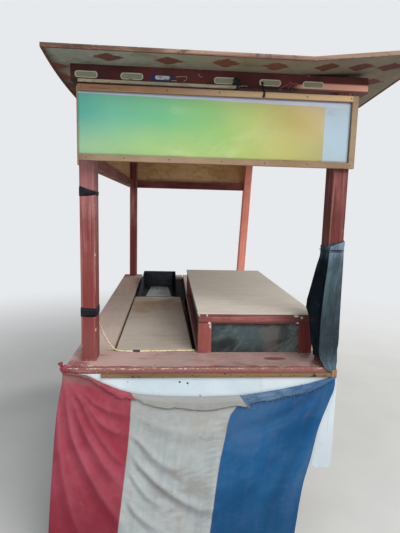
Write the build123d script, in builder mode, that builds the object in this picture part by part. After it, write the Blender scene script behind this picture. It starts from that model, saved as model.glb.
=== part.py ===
from build123d import *
import math
import os

# Street vendor's wooden hand cart with a roof on four posts, in millimetres.
# x runs across the cart, y from its sign end to its handle end, z up from the ground.
# The roof, its widest piece, is centred over the origin.

# deck
deck_height = 900
deck_width = 1100
deck_length = 2310
plank_thick = 24
plank_gap = 6
front_plank_deep = 204
left_plank_wide = 160
back_plank_deep = 110
edge_break = 2

# loose hatch board and the cooking tub behind it
hatch_wide = 344
hatch_narrowing = 27
hatch_length = 1120
hatch_play = 12
hatch_seat_gap = 0.3
hatch_case_gap = 20
gap_lath_thick = 8
tub_wide = 278
tub_setback = 172
tub_gap = 12
tub_rim_back = 60
tub_wall = 2
tub_joist_play = 1
tub_plate_thick = 3
tub_plate_narrow = 150
tub_flange_play = 1

# timbers under the deck
joist_wide = 40
joist_high = 60
joist_bite = 15
bearer_wide = 60
bearer_high = 60
bearer_count = 4
bearer_inset = 200
rail_wide = 50
rail_high = 70
rail_spacing = 600
rail_inset = 120

# white skirt boards and the studs they are nailed to
skirt_thick = 6
skirt_drop = 445
stud_wide = 30
batten_high = 17
batten_thick = 10
batten_lap = 4
batten_start = 142
batten_end = 16

# posts, beams and roof
post_wide = 60
post_deep = 85
post_high = 1088
post_inset_left = 50
post_setback_left = 78
back_right_lean = 45
beam_high = 58
beam_deep = 70
beam_reach_left = 15
beam_reach_right = 52
rafter_wide = 50
roof_board = 12
roof_over_left = 55
roof_over_right = 225
roof_over_front = 140
roof_over_back = 160
trim_wide = 8
trim_high = 14
left_edge_draw = 30
left_edge_length = 600
curl_rise = 50
curl_width = 440
curl_length = 620

# sign on the front and plain plywood above the other closed sides
sign_thick = 22
sign_bottom = 804
sign_high = 268
sign_inset_left = 13
sign_reach_right = 10
strip_wide = 22
banner_thick = 3
banner_back = 9
moulding_high = 11
moulding_thick = 9
moulding_length = 580
panel_thick = 9
panel_drop = 294
panel_lap = 12
panel_rail_high = 63
panel_rail_thick = 30

# glass case
case_front = 176
case_length = 1228
case_inset_right = 48
case_high = 187
case_top_thick = 9
case_top_lip = 4
case_post_wide = 60
case_post_deep = 40
case_rail_high = 42
case_rail_thick = 40
case_sill_high = 14
glass_thick = 4
glass_inset = 10
glass_bite = 3
pane_gap = 5
door_length = 560
door_play = 1
door_lift = 0.3
pull_size = 14
pull_stand = 8

# wheels and axles
wheel_radius = 300
tyre_wide = 46
tyre_deep = 30
rim_deep = 12
rim_wide = 34
spoke_count = 12
spoke_radius = 4.5
hub_radius = 28
hub_length = 90
wheel_track = 840
axle_setback = 500
axle_radius = 15
journal_radius = 12.5
hub_running_gap = 0.05
hub_end_play = 0.3
collar_radius = 22
collar_wide = 10
nut_radius = 20
nut_wide = 14
hanger_wide = 40
hanger_splay = 110
hanger_leg = 14
hanger_plate = 8
hanger_boss = 34

# push handle
handle_radius = 17
handle_width = 700
handle_reach = 128
handle_drop = 66
handle_bend = 60
flange_radius = 38
flange_thick = 6

# cloth, tarpaulin, tape and lamp cord
soft_gap = 0.3
cloth_thick = 14
cloth_hem_above_ground = 130
cloth_top_sag = 110
tarp_thick = 9
tarp_low = 3
tarp_high = 515
tarp_fold = 58
tarp_fold_high = 250
tarp_waist = 440
tarp_tip_drop = 19
tarp_tip_thick = 5
tarp_tip_side = 23
tape_thick = 1.2
tape_wide = 37
tape_low = 187
tape_high = 672
cord_radius = 3.25
box_wide = 44
box_thick = 18
box_high = 30
box_setback = 63

roof_width = deck_width + roof_over_left + roof_over_right
roof_length = deck_length + roof_over_front + roof_over_back
roof_left = -roof_width / 2
roof_right = roof_width / 2
roof_front = -roof_length / 2
roof_back = roof_length / 2
deck_left = roof_left + roof_over_left
deck_right = deck_left + deck_width
deck_front = roof_front + roof_over_front
deck_back = deck_front + deck_length
deck_mid = (deck_left + deck_right) / 2
plank_under = deck_height - plank_thick
joist_under = plank_under - joist_high
bearer_under = joist_under - bearer_high
rail_under = bearer_under - rail_high
skirt_bottom = deck_height - skirt_drop
beam_under = deck_height + post_high
roof_under = beam_under + beam_high
roof_top = roof_under + roof_board

left_plank_right = deck_left + left_plank_wide
hatch_left = left_plank_right + hatch_play
hatch_right = hatch_left + hatch_wide
hatch_front = deck_front + front_plank_deep + hatch_play
hatch_back = hatch_front + hatch_length
case_left = hatch_right + hatch_case_gap
case_right = deck_right - case_inset_right
case_near = deck_front + case_front
case_far = case_near + case_length
case_top_z = deck_height + case_high
case_rail_top = case_top_z - case_top_thick
case_rail_under = case_rail_top - case_rail_high

post_left = deck_left + post_inset_left
post_right = deck_right
post_left_inner = post_left + post_wide
post_right_inner = post_right - post_wide
left_post_front = deck_front + post_setback_left
right_post_front = deck_front + sign_thick
back_post_front = deck_back - post_deep

os.makedirs("parts", exist_ok=True)


def save(part, label):
    part.label = label
    export_step(part, "parts/" + label + ".step")


def timber(label, x, y, z, broken=edge_break):
    """Straight piece of timber between two x, two y and two z, its edges along its length broken."""
    size = (x[1] - x[0], y[1] - y[0], z[1] - z[0])
    run = (Axis.X, Axis.Y, Axis.Z)[size.index(max(size))]
    with BuildPart() as piece:
        with BuildSketch(Plane.XY.offset(z[0])):
            with Locations(((x[0] + x[1]) / 2, (y[0] + y[1]) / 2)):
                Rectangle(size[0], size[1])
        extrude(amount=size[2])
        if broken:
            chamfer(piece.edges().filter_by(run), broken)
    save(piece.part, label)


def timbers(label, rows):
    """Several straight timbers or panes that don't touch, in one node. Each row is x, y, z spans."""
    with BuildPart() as pieces:
        for x, y, z in rows:
            with BuildSketch(Plane.XY.offset(z[0])):
                with Locations(((x[0] + x[1]) / 2, (y[0] + y[1]) / 2)):
                    Rectangle(x[1] - x[0], y[1] - y[0])
            extrude(amount=z[1] - z[0])
    save(pieces.part, label)


# deck planks: label, x span, y span
plank_z = (plank_under, deck_height)
plank_start = deck_front + front_plank_deep + plank_gap / 2
timber("front_plank", (deck_left, deck_right), (deck_front, deck_front + front_plank_deep), plank_z)
timber("left_plank", (deck_left, left_plank_right), (plank_start, deck_back), plank_z)
timber("right_plank", (case_left, deck_right), (plank_start, deck_back), plank_z)
timber("back_plank", (hatch_left, case_left - plank_gap), (deck_back - back_plank_deep, deck_back), plank_z)

with BuildPart() as hatch_board:
    with BuildSketch(Plane.XY.offset(plank_under + hatch_seat_gap)):
        with BuildLine():
            Polyline(
                (hatch_left, hatch_front),
                (hatch_right, hatch_front),
                (hatch_right - hatch_narrowing, hatch_back),
                (hatch_left, hatch_back),
                close=True,
            )
        make_face()
    extrude(amount=plank_thick)
    chamfer(hatch_board.faces().sort_by(Axis.Z)[-1].edges(), edge_break)
save(hatch_board.part, "hatch_board")

# joists along the cart: outer two, one under each side of the hatch, and two under the case
inner_joist_left = left_plank_right - joist_bite
tub_left = inner_joist_left + joist_wide + tub_joist_play
hatch_joist_left = hatch_right - joist_wide
joist_z = (joist_under, plank_under)
rim_front = deck_front + skirt_thick
joist_y = (rim_front + joist_wide, deck_back - joist_wide)
joist_lefts = (
    deck_left,
    inner_joist_left,
    hatch_joist_left,
    case_left,
    (case_left + deck_right) / 2,
    deck_right - joist_wide,
)
timbers("deck_joists", [((left, left + joist_wide), joist_y, joist_z) for left in joist_lefts])
timber(
    "gap_lath",
    (hatch_right, case_left),
    joist_y,
    (joist_under, joist_under + gap_lath_thick),
    0,
)
rim_fronts = (rim_front, deck_back - joist_wide)
timbers("deck_rims", [((deck_left, deck_right), (front, front + joist_wide), joist_z) for front in rim_fronts])

bearer_z = (bearer_under, joist_under)
bearer_step = (deck_length - 2 * bearer_inset - bearer_wide) / (bearer_count - 1)
bearer_x = (deck_left + stud_wide, deck_right - stud_wide)
bearer_fronts = [deck_front + bearer_inset + bearer_step * i for i in range(bearer_count)]
timbers("cross_bearers", [(bearer_x, (front, front + bearer_wide), bearer_z) for front in bearer_fronts])

rail_z = (rail_under, bearer_under)
rail_y = (deck_front + rail_inset, deck_back - rail_inset)
rail_mids = (deck_mid - rail_spacing / 2, deck_mid + rail_spacing / 2)
timbers("chassis_rails", [((mid - rail_wide / 2, mid + rail_wide / 2), rail_y, rail_z) for mid in rail_mids])

# open tub of black sheet steel that hangs by its flange; its side walls rise towards the back
tub_right = tub_left + tub_wide
tub_front = hatch_back + tub_gap
tub_back = deck_back - tub_setback
tub_length = tub_back - tub_front
flange_left = left_plank_right + tub_flange_play
flange_right = case_left - tub_flange_play
flange_back = deck_back - back_plank_deep - tub_flange_play
with BuildPart() as stove_tub:
    with BuildSketch(Plane.YZ.offset(tub_left)):
        with BuildLine():
            Polyline(
                (tub_front, joist_under),
                (tub_back, joist_under),
                (tub_back, deck_height + tub_rim_back),
                (tub_front, deck_height),
                close=True,
            )
        make_face()
    extrude(amount=tub_wide)
    with BuildSketch(Plane.XY.offset(plank_under)):
        with Locations(((flange_left + flange_right) / 2, (tub_front + flange_back) / 2)):
            Rectangle(flange_right - flange_left, flange_back - tub_front)
    extrude(amount=tub_wall)
    with BuildSketch(Plane.XY.offset(joist_under + tub_wall)):
        with Locations(((tub_left + tub_right) / 2, (tub_front + tub_back) / 2)):
            Rectangle(tub_wide - 2 * tub_wall, tub_length - 2 * tub_wall)
    extrude(amount=deck_height + tub_rim_back, mode=Mode.SUBTRACT)
save(stove_tub.part, "stove_tub")

# grey plate on the tub's floor, narrower towards the back
tub_mid = (tub_left + tub_right) / 2
plate_half = tub_wide / 2 - tub_wall - tub_gap
with BuildPart() as stove_plate:
    with BuildSketch(Plane.XY.offset(joist_under + tub_wall)):
        with BuildLine():
            Polyline(
                (tub_mid - plate_half, tub_front + tub_gap),
                (tub_mid + plate_half, tub_front + tub_gap),
                (tub_mid + tub_plate_narrow / 2, tub_back - tub_gap),
                (tub_mid - tub_plate_narrow / 2, tub_back - tub_gap),
                close=True,
            )
        make_face()
    extrude(amount=tub_plate_thick)
save(stove_plate.part, "stove_plate")

# white skirt boards
skirt_z = (skirt_bottom, plank_under)
skirt_lefts = (deck_left - skirt_thick, deck_right)
timber("front_skirt", (deck_left, deck_right), (deck_front, rim_front), skirt_z, 0)
timber("back_skirt", (deck_left, deck_right), (deck_back, deck_back + skirt_thick), skirt_z, 0)
timbers("side_skirts", [((left, left + skirt_thick), (deck_front, deck_back), skirt_z) for left in skirt_lefts])

stud_z = (skirt_bottom, joist_under)
stud_x = ((deck_left, deck_left + stud_wide), (deck_right - stud_wide, deck_right))
stud_fronts = (rim_front, (deck_front + deck_back - stud_wide) / 2, deck_back - stud_wide)
timbers("skirt_studs", [(x, (front, front + stud_wide), stud_z) for x in stud_x for front in stud_fronts])

batten_top = plank_under + batten_lap
timber(
    "front_batten",
    (deck_left + batten_start, deck_right - batten_end),
    (deck_front - batten_thick, deck_front),
    (batten_top - batten_high, batten_top),
    1,
)

# posts: label, x of the left face, y of the front face
posts = (
    ("post_front_left", post_left, left_post_front),
    ("post_front_right", post_right_inner, right_post_front),
    ("post_back_left", post_left, back_post_front),
)
for label, left, front in posts:
    timber(label, (left, left + post_wide), (front, front + post_deep), (deck_height, beam_under))

# the back right post leans outwards
with BuildPart() as back_right:
    with BuildSketch(Plane.XZ.offset(-back_post_front)):
        with BuildLine():
            Polyline(
                (post_right_inner, deck_height),
                (post_right, deck_height),
                (post_right + back_right_lean, beam_under),
                (post_right_inner + back_right_lean, beam_under),
                close=True,
            )
        make_face()
    extrude(amount=-post_deep)
    chamfer(back_right.faces().filter_by(Axis.Y).edges().filter_by(Axis.X, reverse=True), edge_break)
save(back_right.part, "post_back_right")

# beams on the posts: label, x span, y span
beam_z = (beam_under, roof_under)
front_beam_back = deck_front + sign_thick + beam_deep
back_beam_front = deck_back - beam_deep
beam_ends = (post_left - beam_reach_left, post_right + beam_reach_right)
rafter_front = (front_beam_back + back_beam_front - rafter_wide) / 2
beams = (
    ("beam_front", beam_ends, (deck_front + sign_thick, front_beam_back)),
    ("beam_back", beam_ends, (back_beam_front, deck_back)),
    ("beam_left", (post_left, post_left_inner), (front_beam_back, back_beam_front)),
    ("beam_right", (post_right_inner, post_right), (front_beam_back, back_beam_front)),
    ("rafter", (post_left_inner, post_right_inner), (rafter_front, rafter_front + rafter_wide)),
)
for label, span_x, span_y in beams:
    timber(label, span_x, span_y, beam_z)

# roof board: flat, but for its front right corner, which has curled up; its left edge draws in at the front
board_left = roof_left + trim_wide
board_right = roof_right - trim_wide
board_front = roof_front + trim_wide
board_back = roof_back - trim_wide
curl_left = roof_right - curl_width
curl_back = roof_front + curl_length
curl_share_x = (board_right - curl_left) / curl_width
curl_share_y = (curl_back - board_front) / curl_length
board_rise = curl_rise * curl_share_x * curl_share_y
draw_back = roof_front + left_edge_length
with BuildPart() as roof:
    with BuildSketch(Plane.XY.offset(roof_under)):
        with BuildLine():
            Polyline(
                (board_left + left_edge_draw, board_front),
                (curl_left, board_front),
                (curl_left, curl_back),
                (board_right, curl_back),
                (board_right, board_back),
                (board_left, board_back),
                (board_left, draw_back),
            )
            TangentArc((board_left, draw_back), (board_left + left_edge_draw, board_front), tangent=(0, -1))
        make_face()
    extrude(amount=roof_board)
    for x, rise in ((curl_left, 0), (board_right, board_rise)):
        with BuildSketch(Plane.YZ.offset(x)):
            with BuildLine():
                Polyline(
                    (board_front, roof_under + rise),
                    (curl_back, roof_under),
                    (curl_back, roof_top),
                    (board_front, roof_top + rise),
                    close=True,
                )
            make_face()
    loft(ruled=True)
save(roof.part, "roof_board")

# trim along the board's edges; it follows the curl at the front right corner
trim_z = (roof_top - trim_high, roof_top)
with BuildPart() as roof_trim:
    with BuildSketch(Plane.XY.offset(trim_z[0])):
        with BuildLine():
            Polyline(
                (roof_left + left_edge_draw, roof_front),
                (curl_left, roof_front),
                (curl_left, board_front),
                (board_left + left_edge_draw, board_front),
            )
            TangentArc((board_left, draw_back), (board_left + left_edge_draw, board_front), tangent=(0, -1))
            Polyline(
                (board_left, draw_back),
                (board_left, board_back),
                (board_right, board_back),
                (board_right, curl_back),
                (roof_right, curl_back),
                (roof_right, roof_back),
                (roof_left, roof_back),
                (roof_left, draw_back),
            )
            TangentArc((roof_left, draw_back), (roof_left + left_edge_draw, roof_front), tangent=(0, -1))
        make_face()
    extrude(amount=trim_high)
    with BuildSketch(Plane.XZ.offset(-roof_front)):
        with BuildLine():
            Polyline(
                (curl_left, trim_z[0]),
                (roof_right, trim_z[0] + curl_rise),
                (roof_right, trim_z[1] + curl_rise),
                (curl_left, trim_z[1]),
                close=True,
            )
        make_face()
    extrude(amount=-trim_wide)
    with BuildSketch(Plane.YZ.offset(board_right)):
        with BuildLine():
            Polyline(
                (roof_front, trim_z[0] + curl_rise),
                (curl_back, trim_z[0]),
                (curl_back, trim_z[1]),
                (roof_front, trim_z[1] + curl_rise),
                close=True,
            )
        make_face()
    extrude(amount=trim_wide)
save(roof_trim.part, "roof_trim")

# sign: raw strips round a blank banner, which wraps over the left strip
sign_left = post_left + sign_inset_left
sign_right = post_right + sign_reach_right
sign_low = deck_height + sign_bottom
sign_top = sign_low + sign_high
sign_back = deck_front + sign_thick
banner_front = sign_back - banner_back - banner_thick
banner_right = sign_right - strip_wide
banner_low = sign_low + strip_wide
banner_top = sign_top - strip_wide
with BuildPart() as sign_frame:
    with BuildSketch(Plane.XZ.offset(-sign_back)):
        with Locations(((sign_left + sign_right) / 2, (sign_low + sign_top) / 2)):
            Rectangle(sign_right - sign_left, sign_high)
        with Locations(((sign_left + sign_right) / 2, (banner_low + banner_top) / 2)):
            Rectangle(sign_right - sign_left - 2 * strip_wide, sign_high - 2 * strip_wide, mode=Mode.SUBTRACT)
    extrude(amount=sign_thick)
    # the banner's bed in front of the left strip
    with BuildSketch(Plane.XZ.offset(-deck_front)):
        with BuildLine():
            Polyline(
                (sign_left, banner_low),
                (sign_left + strip_wide, banner_low),
                (sign_left + strip_wide, banner_top),
                (sign_left, banner_top),
                close=True,
            )
        make_face()
    extrude(amount=-(sign_thick - banner_back), mode=Mode.SUBTRACT)
    # packing block between the sign and the set-back left post
    with BuildSketch(Plane.XY.offset(sign_low + strip_wide)):
        with Locations((sign_left + strip_wide / 2, (sign_back + left_post_front) / 2)):
            Rectangle(strip_wide, left_post_front - sign_back)
    extrude(amount=sign_high - 2 * strip_wide)
save(sign_frame.part, "sign_frame")

timber(
    "sign_banner",
    (sign_left, banner_right),
    (banner_front, banner_front + banner_thick),
    (banner_low, banner_top),
    0,
)
timber(
    "beam_moulding",
    (sign_left, sign_left + moulding_length),
    (sign_back - moulding_thick, sign_back),
    (beam_under - moulding_high / 2, beam_under + moulding_high / 2),
    1,
)

# plywood above the left and back sides, each on a rail between two posts
panel_z = (beam_under - panel_drop, beam_under + panel_lap)
panel_rail_z = (panel_z[0], panel_z[0] + panel_rail_high)
post_left_back = left_post_front + post_deep
panel_y = (front_beam_back, back_beam_front)
timber("left_panel", (post_left - panel_thick, post_left), panel_y, panel_z, 0)
timber("left_rail", (post_left, post_left + panel_rail_thick), (post_left_back, back_post_front), panel_rail_z)
back_panel_end = post_right + back_right_lean
timber("back_panel", (post_left, back_panel_end), (deck_back, deck_back + panel_thick), panel_z, 0)
back_rail_end = post_right_inner + back_right_lean * (panel_rail_z[0] - deck_height) / post_high
timber(
    "back_rail",
    (post_left_inner, back_rail_end),
    (deck_back - panel_rail_thick, deck_back),
    panel_rail_z,
)

# case frame: four corner posts, top rails, and sills on three sides; the front has no sill
case_wide = case_right - case_left
case_mid_x = (case_left + case_right) / 2
case_mid_y = (case_near + case_far) / 2
sill_top = deck_height + case_sill_high
groove_wide = glass_thick + 2 * door_play
groove_deep = case_sill_high / 2
door_groove_x = case_left + glass_inset
fixed_groove_x = door_groove_x + glass_thick + pane_gap
with BuildPart() as case_frame:
    with BuildSketch(Plane.XY.offset(deck_height)):
        with Locations((case_mid_x, case_mid_y)):
            with GridLocations(case_wide - case_post_wide, case_length - case_post_deep, 2, 2):
                Rectangle(case_post_wide, case_post_deep)
    extrude(amount=case_rail_top - deck_height)
    with BuildSketch(Plane.XY.offset(case_rail_under)):
        with Locations((case_mid_x, case_mid_y)):
            Rectangle(case_wide, case_length)
            Rectangle(case_wide - 2 * case_rail_thick, case_length - 2 * case_rail_thick, mode=Mode.SUBTRACT)
    extrude(amount=case_rail_high)
    with BuildSketch(Plane.XY.offset(deck_height)):
        with Locations((case_mid_x, case_mid_y)):
            with GridLocations(case_wide - case_rail_thick, 1, 2, 1):
                Rectangle(case_rail_thick, case_length - 2 * case_post_deep)
    extrude(amount=case_sill_high)
    # grooves for the door and the fixed pane of the left side, in the sill and in the rail above
    run_y = case_length - 2 * case_post_deep
    for groove_x in (door_groove_x, fixed_groove_x):
        for low, high in ((sill_top - groove_deep, sill_top), (case_rail_under, case_rail_under + 2 * groove_deep)):
            with BuildSketch(Plane.XY.offset(low)):
                with Locations((groove_x + groove_wide / 2, case_mid_y)):
                    Rectangle(groove_wide, run_y)
            extrude(amount=high - low, mode=Mode.SUBTRACT)
    # rebate for the right pane
    right_pane_x = case_right - glass_inset - glass_thick
    with BuildSketch(Plane.XY.offset(sill_top - groove_deep)):
        with Locations((right_pane_x + glass_thick / 2, case_mid_y)):
            Rectangle(glass_thick, run_y)
    extrude(amount=case_rail_under - sill_top + groove_deep + glass_bite, mode=Mode.SUBTRACT)
save(case_frame.part, "case_frame")

timber(
    "case_top",
    (case_left - case_top_lip, case_right + case_top_lip),
    (case_near - case_top_lip, case_far + case_top_lip),
    (case_rail_top, case_top_z),
    1,
)

front_pane_x = (case_left + case_post_wide, case_right - case_post_wide)
front_pane_y = (case_near + glass_inset, case_near + glass_inset + glass_thick)
back_pane_y = (case_far - glass_inset - glass_thick, case_far - glass_inset)
front_pane_z = (deck_height, case_rail_under)
case_inner_y = (case_near + case_post_deep, case_far - case_post_deep)
right_pane = (right_pane_x, right_pane_x + glass_thick)
right_pane_z = (sill_top - groove_deep, case_rail_under + glass_bite)
fixed_pane_x = (fixed_groove_x + door_play, fixed_groove_x + door_play + glass_thick)
fixed_pane_y = (case_inner_y[1] - door_length, case_inner_y[1])
fixed_pane_z = (sill_top - groove_deep, case_rail_under + groove_deep)
timbers(
    "case_glass",
    (
        (front_pane_x, front_pane_y, front_pane_z),
        (front_pane_x, back_pane_y, front_pane_z),
        (right_pane, case_inner_y, right_pane_z),
        (fixed_pane_x, fixed_pane_y, fixed_pane_z),
    ),
)

# sliding door with its finger pull
door_x = (door_groove_x + door_play, door_groove_x + door_play + glass_thick)
door_front = case_inner_y[0] + door_play
door_z = (sill_top - groove_deep + door_lift, case_rail_under + groove_deep)
with BuildPart() as case_door:
    with BuildSketch(Plane.XY.offset(door_z[0])):
        with Locations((sum(door_x) / 2, door_front + door_length / 2)):
            Rectangle(glass_thick, door_length)
    extrude(amount=door_z[1] - door_z[0])
save(case_door.part, "case_door")
with BuildPart() as door_pull:
    with BuildSketch(Plane.YZ.offset(door_x[0])):
        with Locations((door_front + 2 * pull_size, (sill_top + case_rail_under) / 2)):
            RectangleRounded(pull_size, 4 * pull_size, pull_size / 2 - 1)
    extrude(amount=-pull_stand)
save(door_pull.part, "door_pull")

# axles: round bars with a shoulder and a nut for each wheel
track_half = wheel_track / 2
hub_inner = track_half - hub_length / 2
hub_outer = track_half + hub_length / 2
shoulder = hub_inner - hub_end_play
nut_inner = hub_outer + hub_end_play
axle_places = (
    ("front", deck_front + axle_setback),
    ("rear", deck_back - axle_setback),
)
with BuildPart() as axles:
    for end, axle_y in axle_places:
        with BuildSketch(Plane.XY.offset(wheel_radius)):
            with BuildLine():
                Polyline(
                    (deck_mid, axle_y),
                    (deck_mid, axle_y + axle_radius),
                    (deck_mid + shoulder - collar_wide, axle_y + axle_radius),
                    (deck_mid + shoulder - collar_wide, axle_y + collar_radius),
                    (deck_mid + shoulder, axle_y + collar_radius),
                    (deck_mid + shoulder, axle_y + journal_radius),
                    (deck_mid + nut_inner, axle_y + journal_radius),
                    (deck_mid + nut_inner, axle_y + nut_radius),
                    (deck_mid + nut_inner + nut_wide, axle_y + nut_radius),
                    (deck_mid + nut_inner + nut_wide, axle_y),
                    close=True,
                )
            make_face()
            mirror(about=Plane.YZ.offset(deck_mid))
        revolve(axis=Axis((0, axle_y, wheel_radius), (1, 0, 0)))
save(axles.part, "axles")

# V of flat bar under each rail at each axle, with a boss that the axle goes through
with BuildPart() as hangers:
    for end, axle_y in axle_places:
        for mid in rail_mids:
            with BuildSketch(Plane.YZ.offset(mid - hanger_wide / 2)):
                with BuildLine():
                    Polyline(
                        (axle_y - hanger_splay - hanger_leg, rail_under),
                        (axle_y + hanger_splay + hanger_leg, rail_under),
                        (axle_y + hanger_splay + hanger_leg, rail_under - hanger_plate),
                        (axle_y + hanger_leg, wheel_radius),
                        (axle_y - hanger_leg, wheel_radius),
                        (axle_y - hanger_splay - hanger_leg, rail_under - hanger_plate),
                        close=True,
                    )
                make_face()
                with BuildLine(mode=Mode.PRIVATE) as gap:
                    Polyline(
                        (axle_y - hanger_splay, rail_under - hanger_plate),
                        (axle_y + hanger_splay, rail_under - hanger_plate),
                        (axle_y, wheel_radius + hanger_boss),
                        close=True,
                    )
                make_face(gap.edges(), mode=Mode.SUBTRACT)
                with Locations((axle_y, wheel_radius)):
                    Circle(hanger_boss)
                    Circle(axle_radius, mode=Mode.SUBTRACT)
            extrude(amount=hanger_wide)
save(hangers.part, "axle_hangers")

# wheels: spoked steel wheel and solid rubber tyre
rim_outer = wheel_radius - tyre_deep
rim_inner = rim_outer - rim_deep
bore_radius = journal_radius + hub_running_gap
tyre_half = tyre_wide / 2
for end, axle_y in axle_places:
    for side, sign in (("left", -1), ("right", 1)):
        wheel_x = deck_mid + sign * track_half
        wheel_plane = Plane((wheel_x, axle_y, wheel_radius), x_dir=(0, 1, 0), z_dir=(1, 0, 0))
        with BuildPart() as wheel:
            with BuildSketch(wheel_plane.offset(-rim_wide / 2)):
                Circle(rim_outer)
                Circle(rim_inner, mode=Mode.SUBTRACT)
            extrude(amount=rim_wide)
            with BuildSketch(wheel_plane.offset(-hub_length / 2)):
                Circle(hub_radius)
            extrude(amount=hub_length)
            for i in range(spoke_count):
                angle = 360 / spoke_count * i
                spoke_dir = (0, math.cos(math.radians(angle)), math.sin(math.radians(angle)))
                spoke_start = (
                    wheel_x,
                    axle_y + spoke_dir[1] * (hub_radius - spoke_radius),
                    wheel_radius + spoke_dir[2] * (hub_radius - spoke_radius),
                )
                with BuildSketch(Plane(spoke_start, x_dir=(1, 0, 0), z_dir=spoke_dir)):
                    Circle(spoke_radius)
                extrude(amount=rim_inner + rim_deep / 2 - hub_radius + spoke_radius)
            with BuildSketch(wheel_plane.offset(-hub_length / 2)):
                Circle(bore_radius)
            extrude(amount=hub_length, mode=Mode.SUBTRACT)
        save(wheel.part, "wheel_" + end + "_" + side)

        with BuildPart() as tyre:
            with BuildSketch(Plane.XY.offset(wheel_radius)):
                with BuildLine():
                    Line((wheel_x - tyre_half, axle_y + rim_outer), (wheel_x + tyre_half, axle_y + rim_outer))
                    Line(
                        (wheel_x + tyre_half, axle_y + rim_outer),
                        (wheel_x + tyre_half, axle_y + rim_outer + tyre_deep / 2),
                    )
                    ThreePointArc(
                        (wheel_x + tyre_half, axle_y + rim_outer + tyre_deep / 2),
                        (wheel_x, axle_y + wheel_radius),
                        (wheel_x - tyre_half, axle_y + rim_outer + tyre_deep / 2),
                    )
                    Line(
                        (wheel_x - tyre_half, axle_y + rim_outer + tyre_deep / 2),
                        (wheel_x - tyre_half, axle_y + rim_outer),
                    )
                make_face()
            revolve(axis=Axis((0, axle_y, wheel_radius), (1, 0, 0)))
        save(tyre.part, "tyre_" + end + "_" + side)

# push handle of bent pipe on two flanges
handle_z = deck_height - handle_drop
handle_start = deck_back + skirt_thick
handle_y = handle_start + handle_reach
handle_ends = (deck_mid - handle_width / 2, deck_mid + handle_width / 2)
grip_start = handle_ends[0] + handle_bend
bend_start = handle_y - handle_bend
with BuildPart() as push_handle:
    with BuildSketch(Plane((grip_start, handle_y, handle_z), x_dir=(0, 1, 0), z_dir=(1, 0, 0))):
        Circle(handle_radius)
    extrude(amount=handle_width - 2 * handle_bend)
    for x, inward in zip(handle_ends, (1, -1)):
        with BuildSketch(Plane((x, handle_start, handle_z), x_dir=(1, 0, 0), z_dir=(0, 1, 0))):
            Circle(handle_radius)
        extrude(amount=bend_start - handle_start)
        with BuildSketch(Plane((x, bend_start, handle_z), x_dir=(1, 0, 0), z_dir=(0, 1, 0))):
            Circle(handle_radius)
        bend_axis = Axis((x + inward * handle_bend, bend_start, handle_z), (0, 0, -inward))
        revolve(axis=bend_axis, revolution_arc=90)
    for x in handle_ends:
        with BuildSketch(Plane((x, handle_start, handle_z), x_dir=(1, 0, 0), z_dir=(0, 1, 0))):
            Circle(flange_radius)
        extrude(amount=flange_thick)
save(push_handle.part, "push_handle")

# striped cloth hung from the deck's front corners, in front of the skirt
cloth_back = deck_front - soft_gap
with BuildPart() as cloth:
    with BuildSketch(Plane.XZ.offset(-cloth_back)):
        with BuildLine():
            Polyline(
                (deck_left - 8, deck_height - 14),
                (deck_left + 84, plank_under),
                (deck_left + 150, deck_height - 62),
                (deck_left + 280, deck_height - cloth_top_sag),
                (deck_right - 390, deck_height - cloth_top_sag - 6),
                (deck_right - 120, deck_height - 70),
                (deck_right - 5, deck_height - 50),
                (deck_right - 60, deck_height - 248),
                (deck_right - 90, deck_height - 393),
                (deck_right - 140, cloth_hem_above_ground),
                (deck_left - 54, cloth_hem_above_ground),
                (deck_left - 44, deck_height - 394),
                close=True,
            )
        make_face()
    extrude(amount=cloth_thick)
save(cloth.part, "cloth_curtain")

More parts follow.
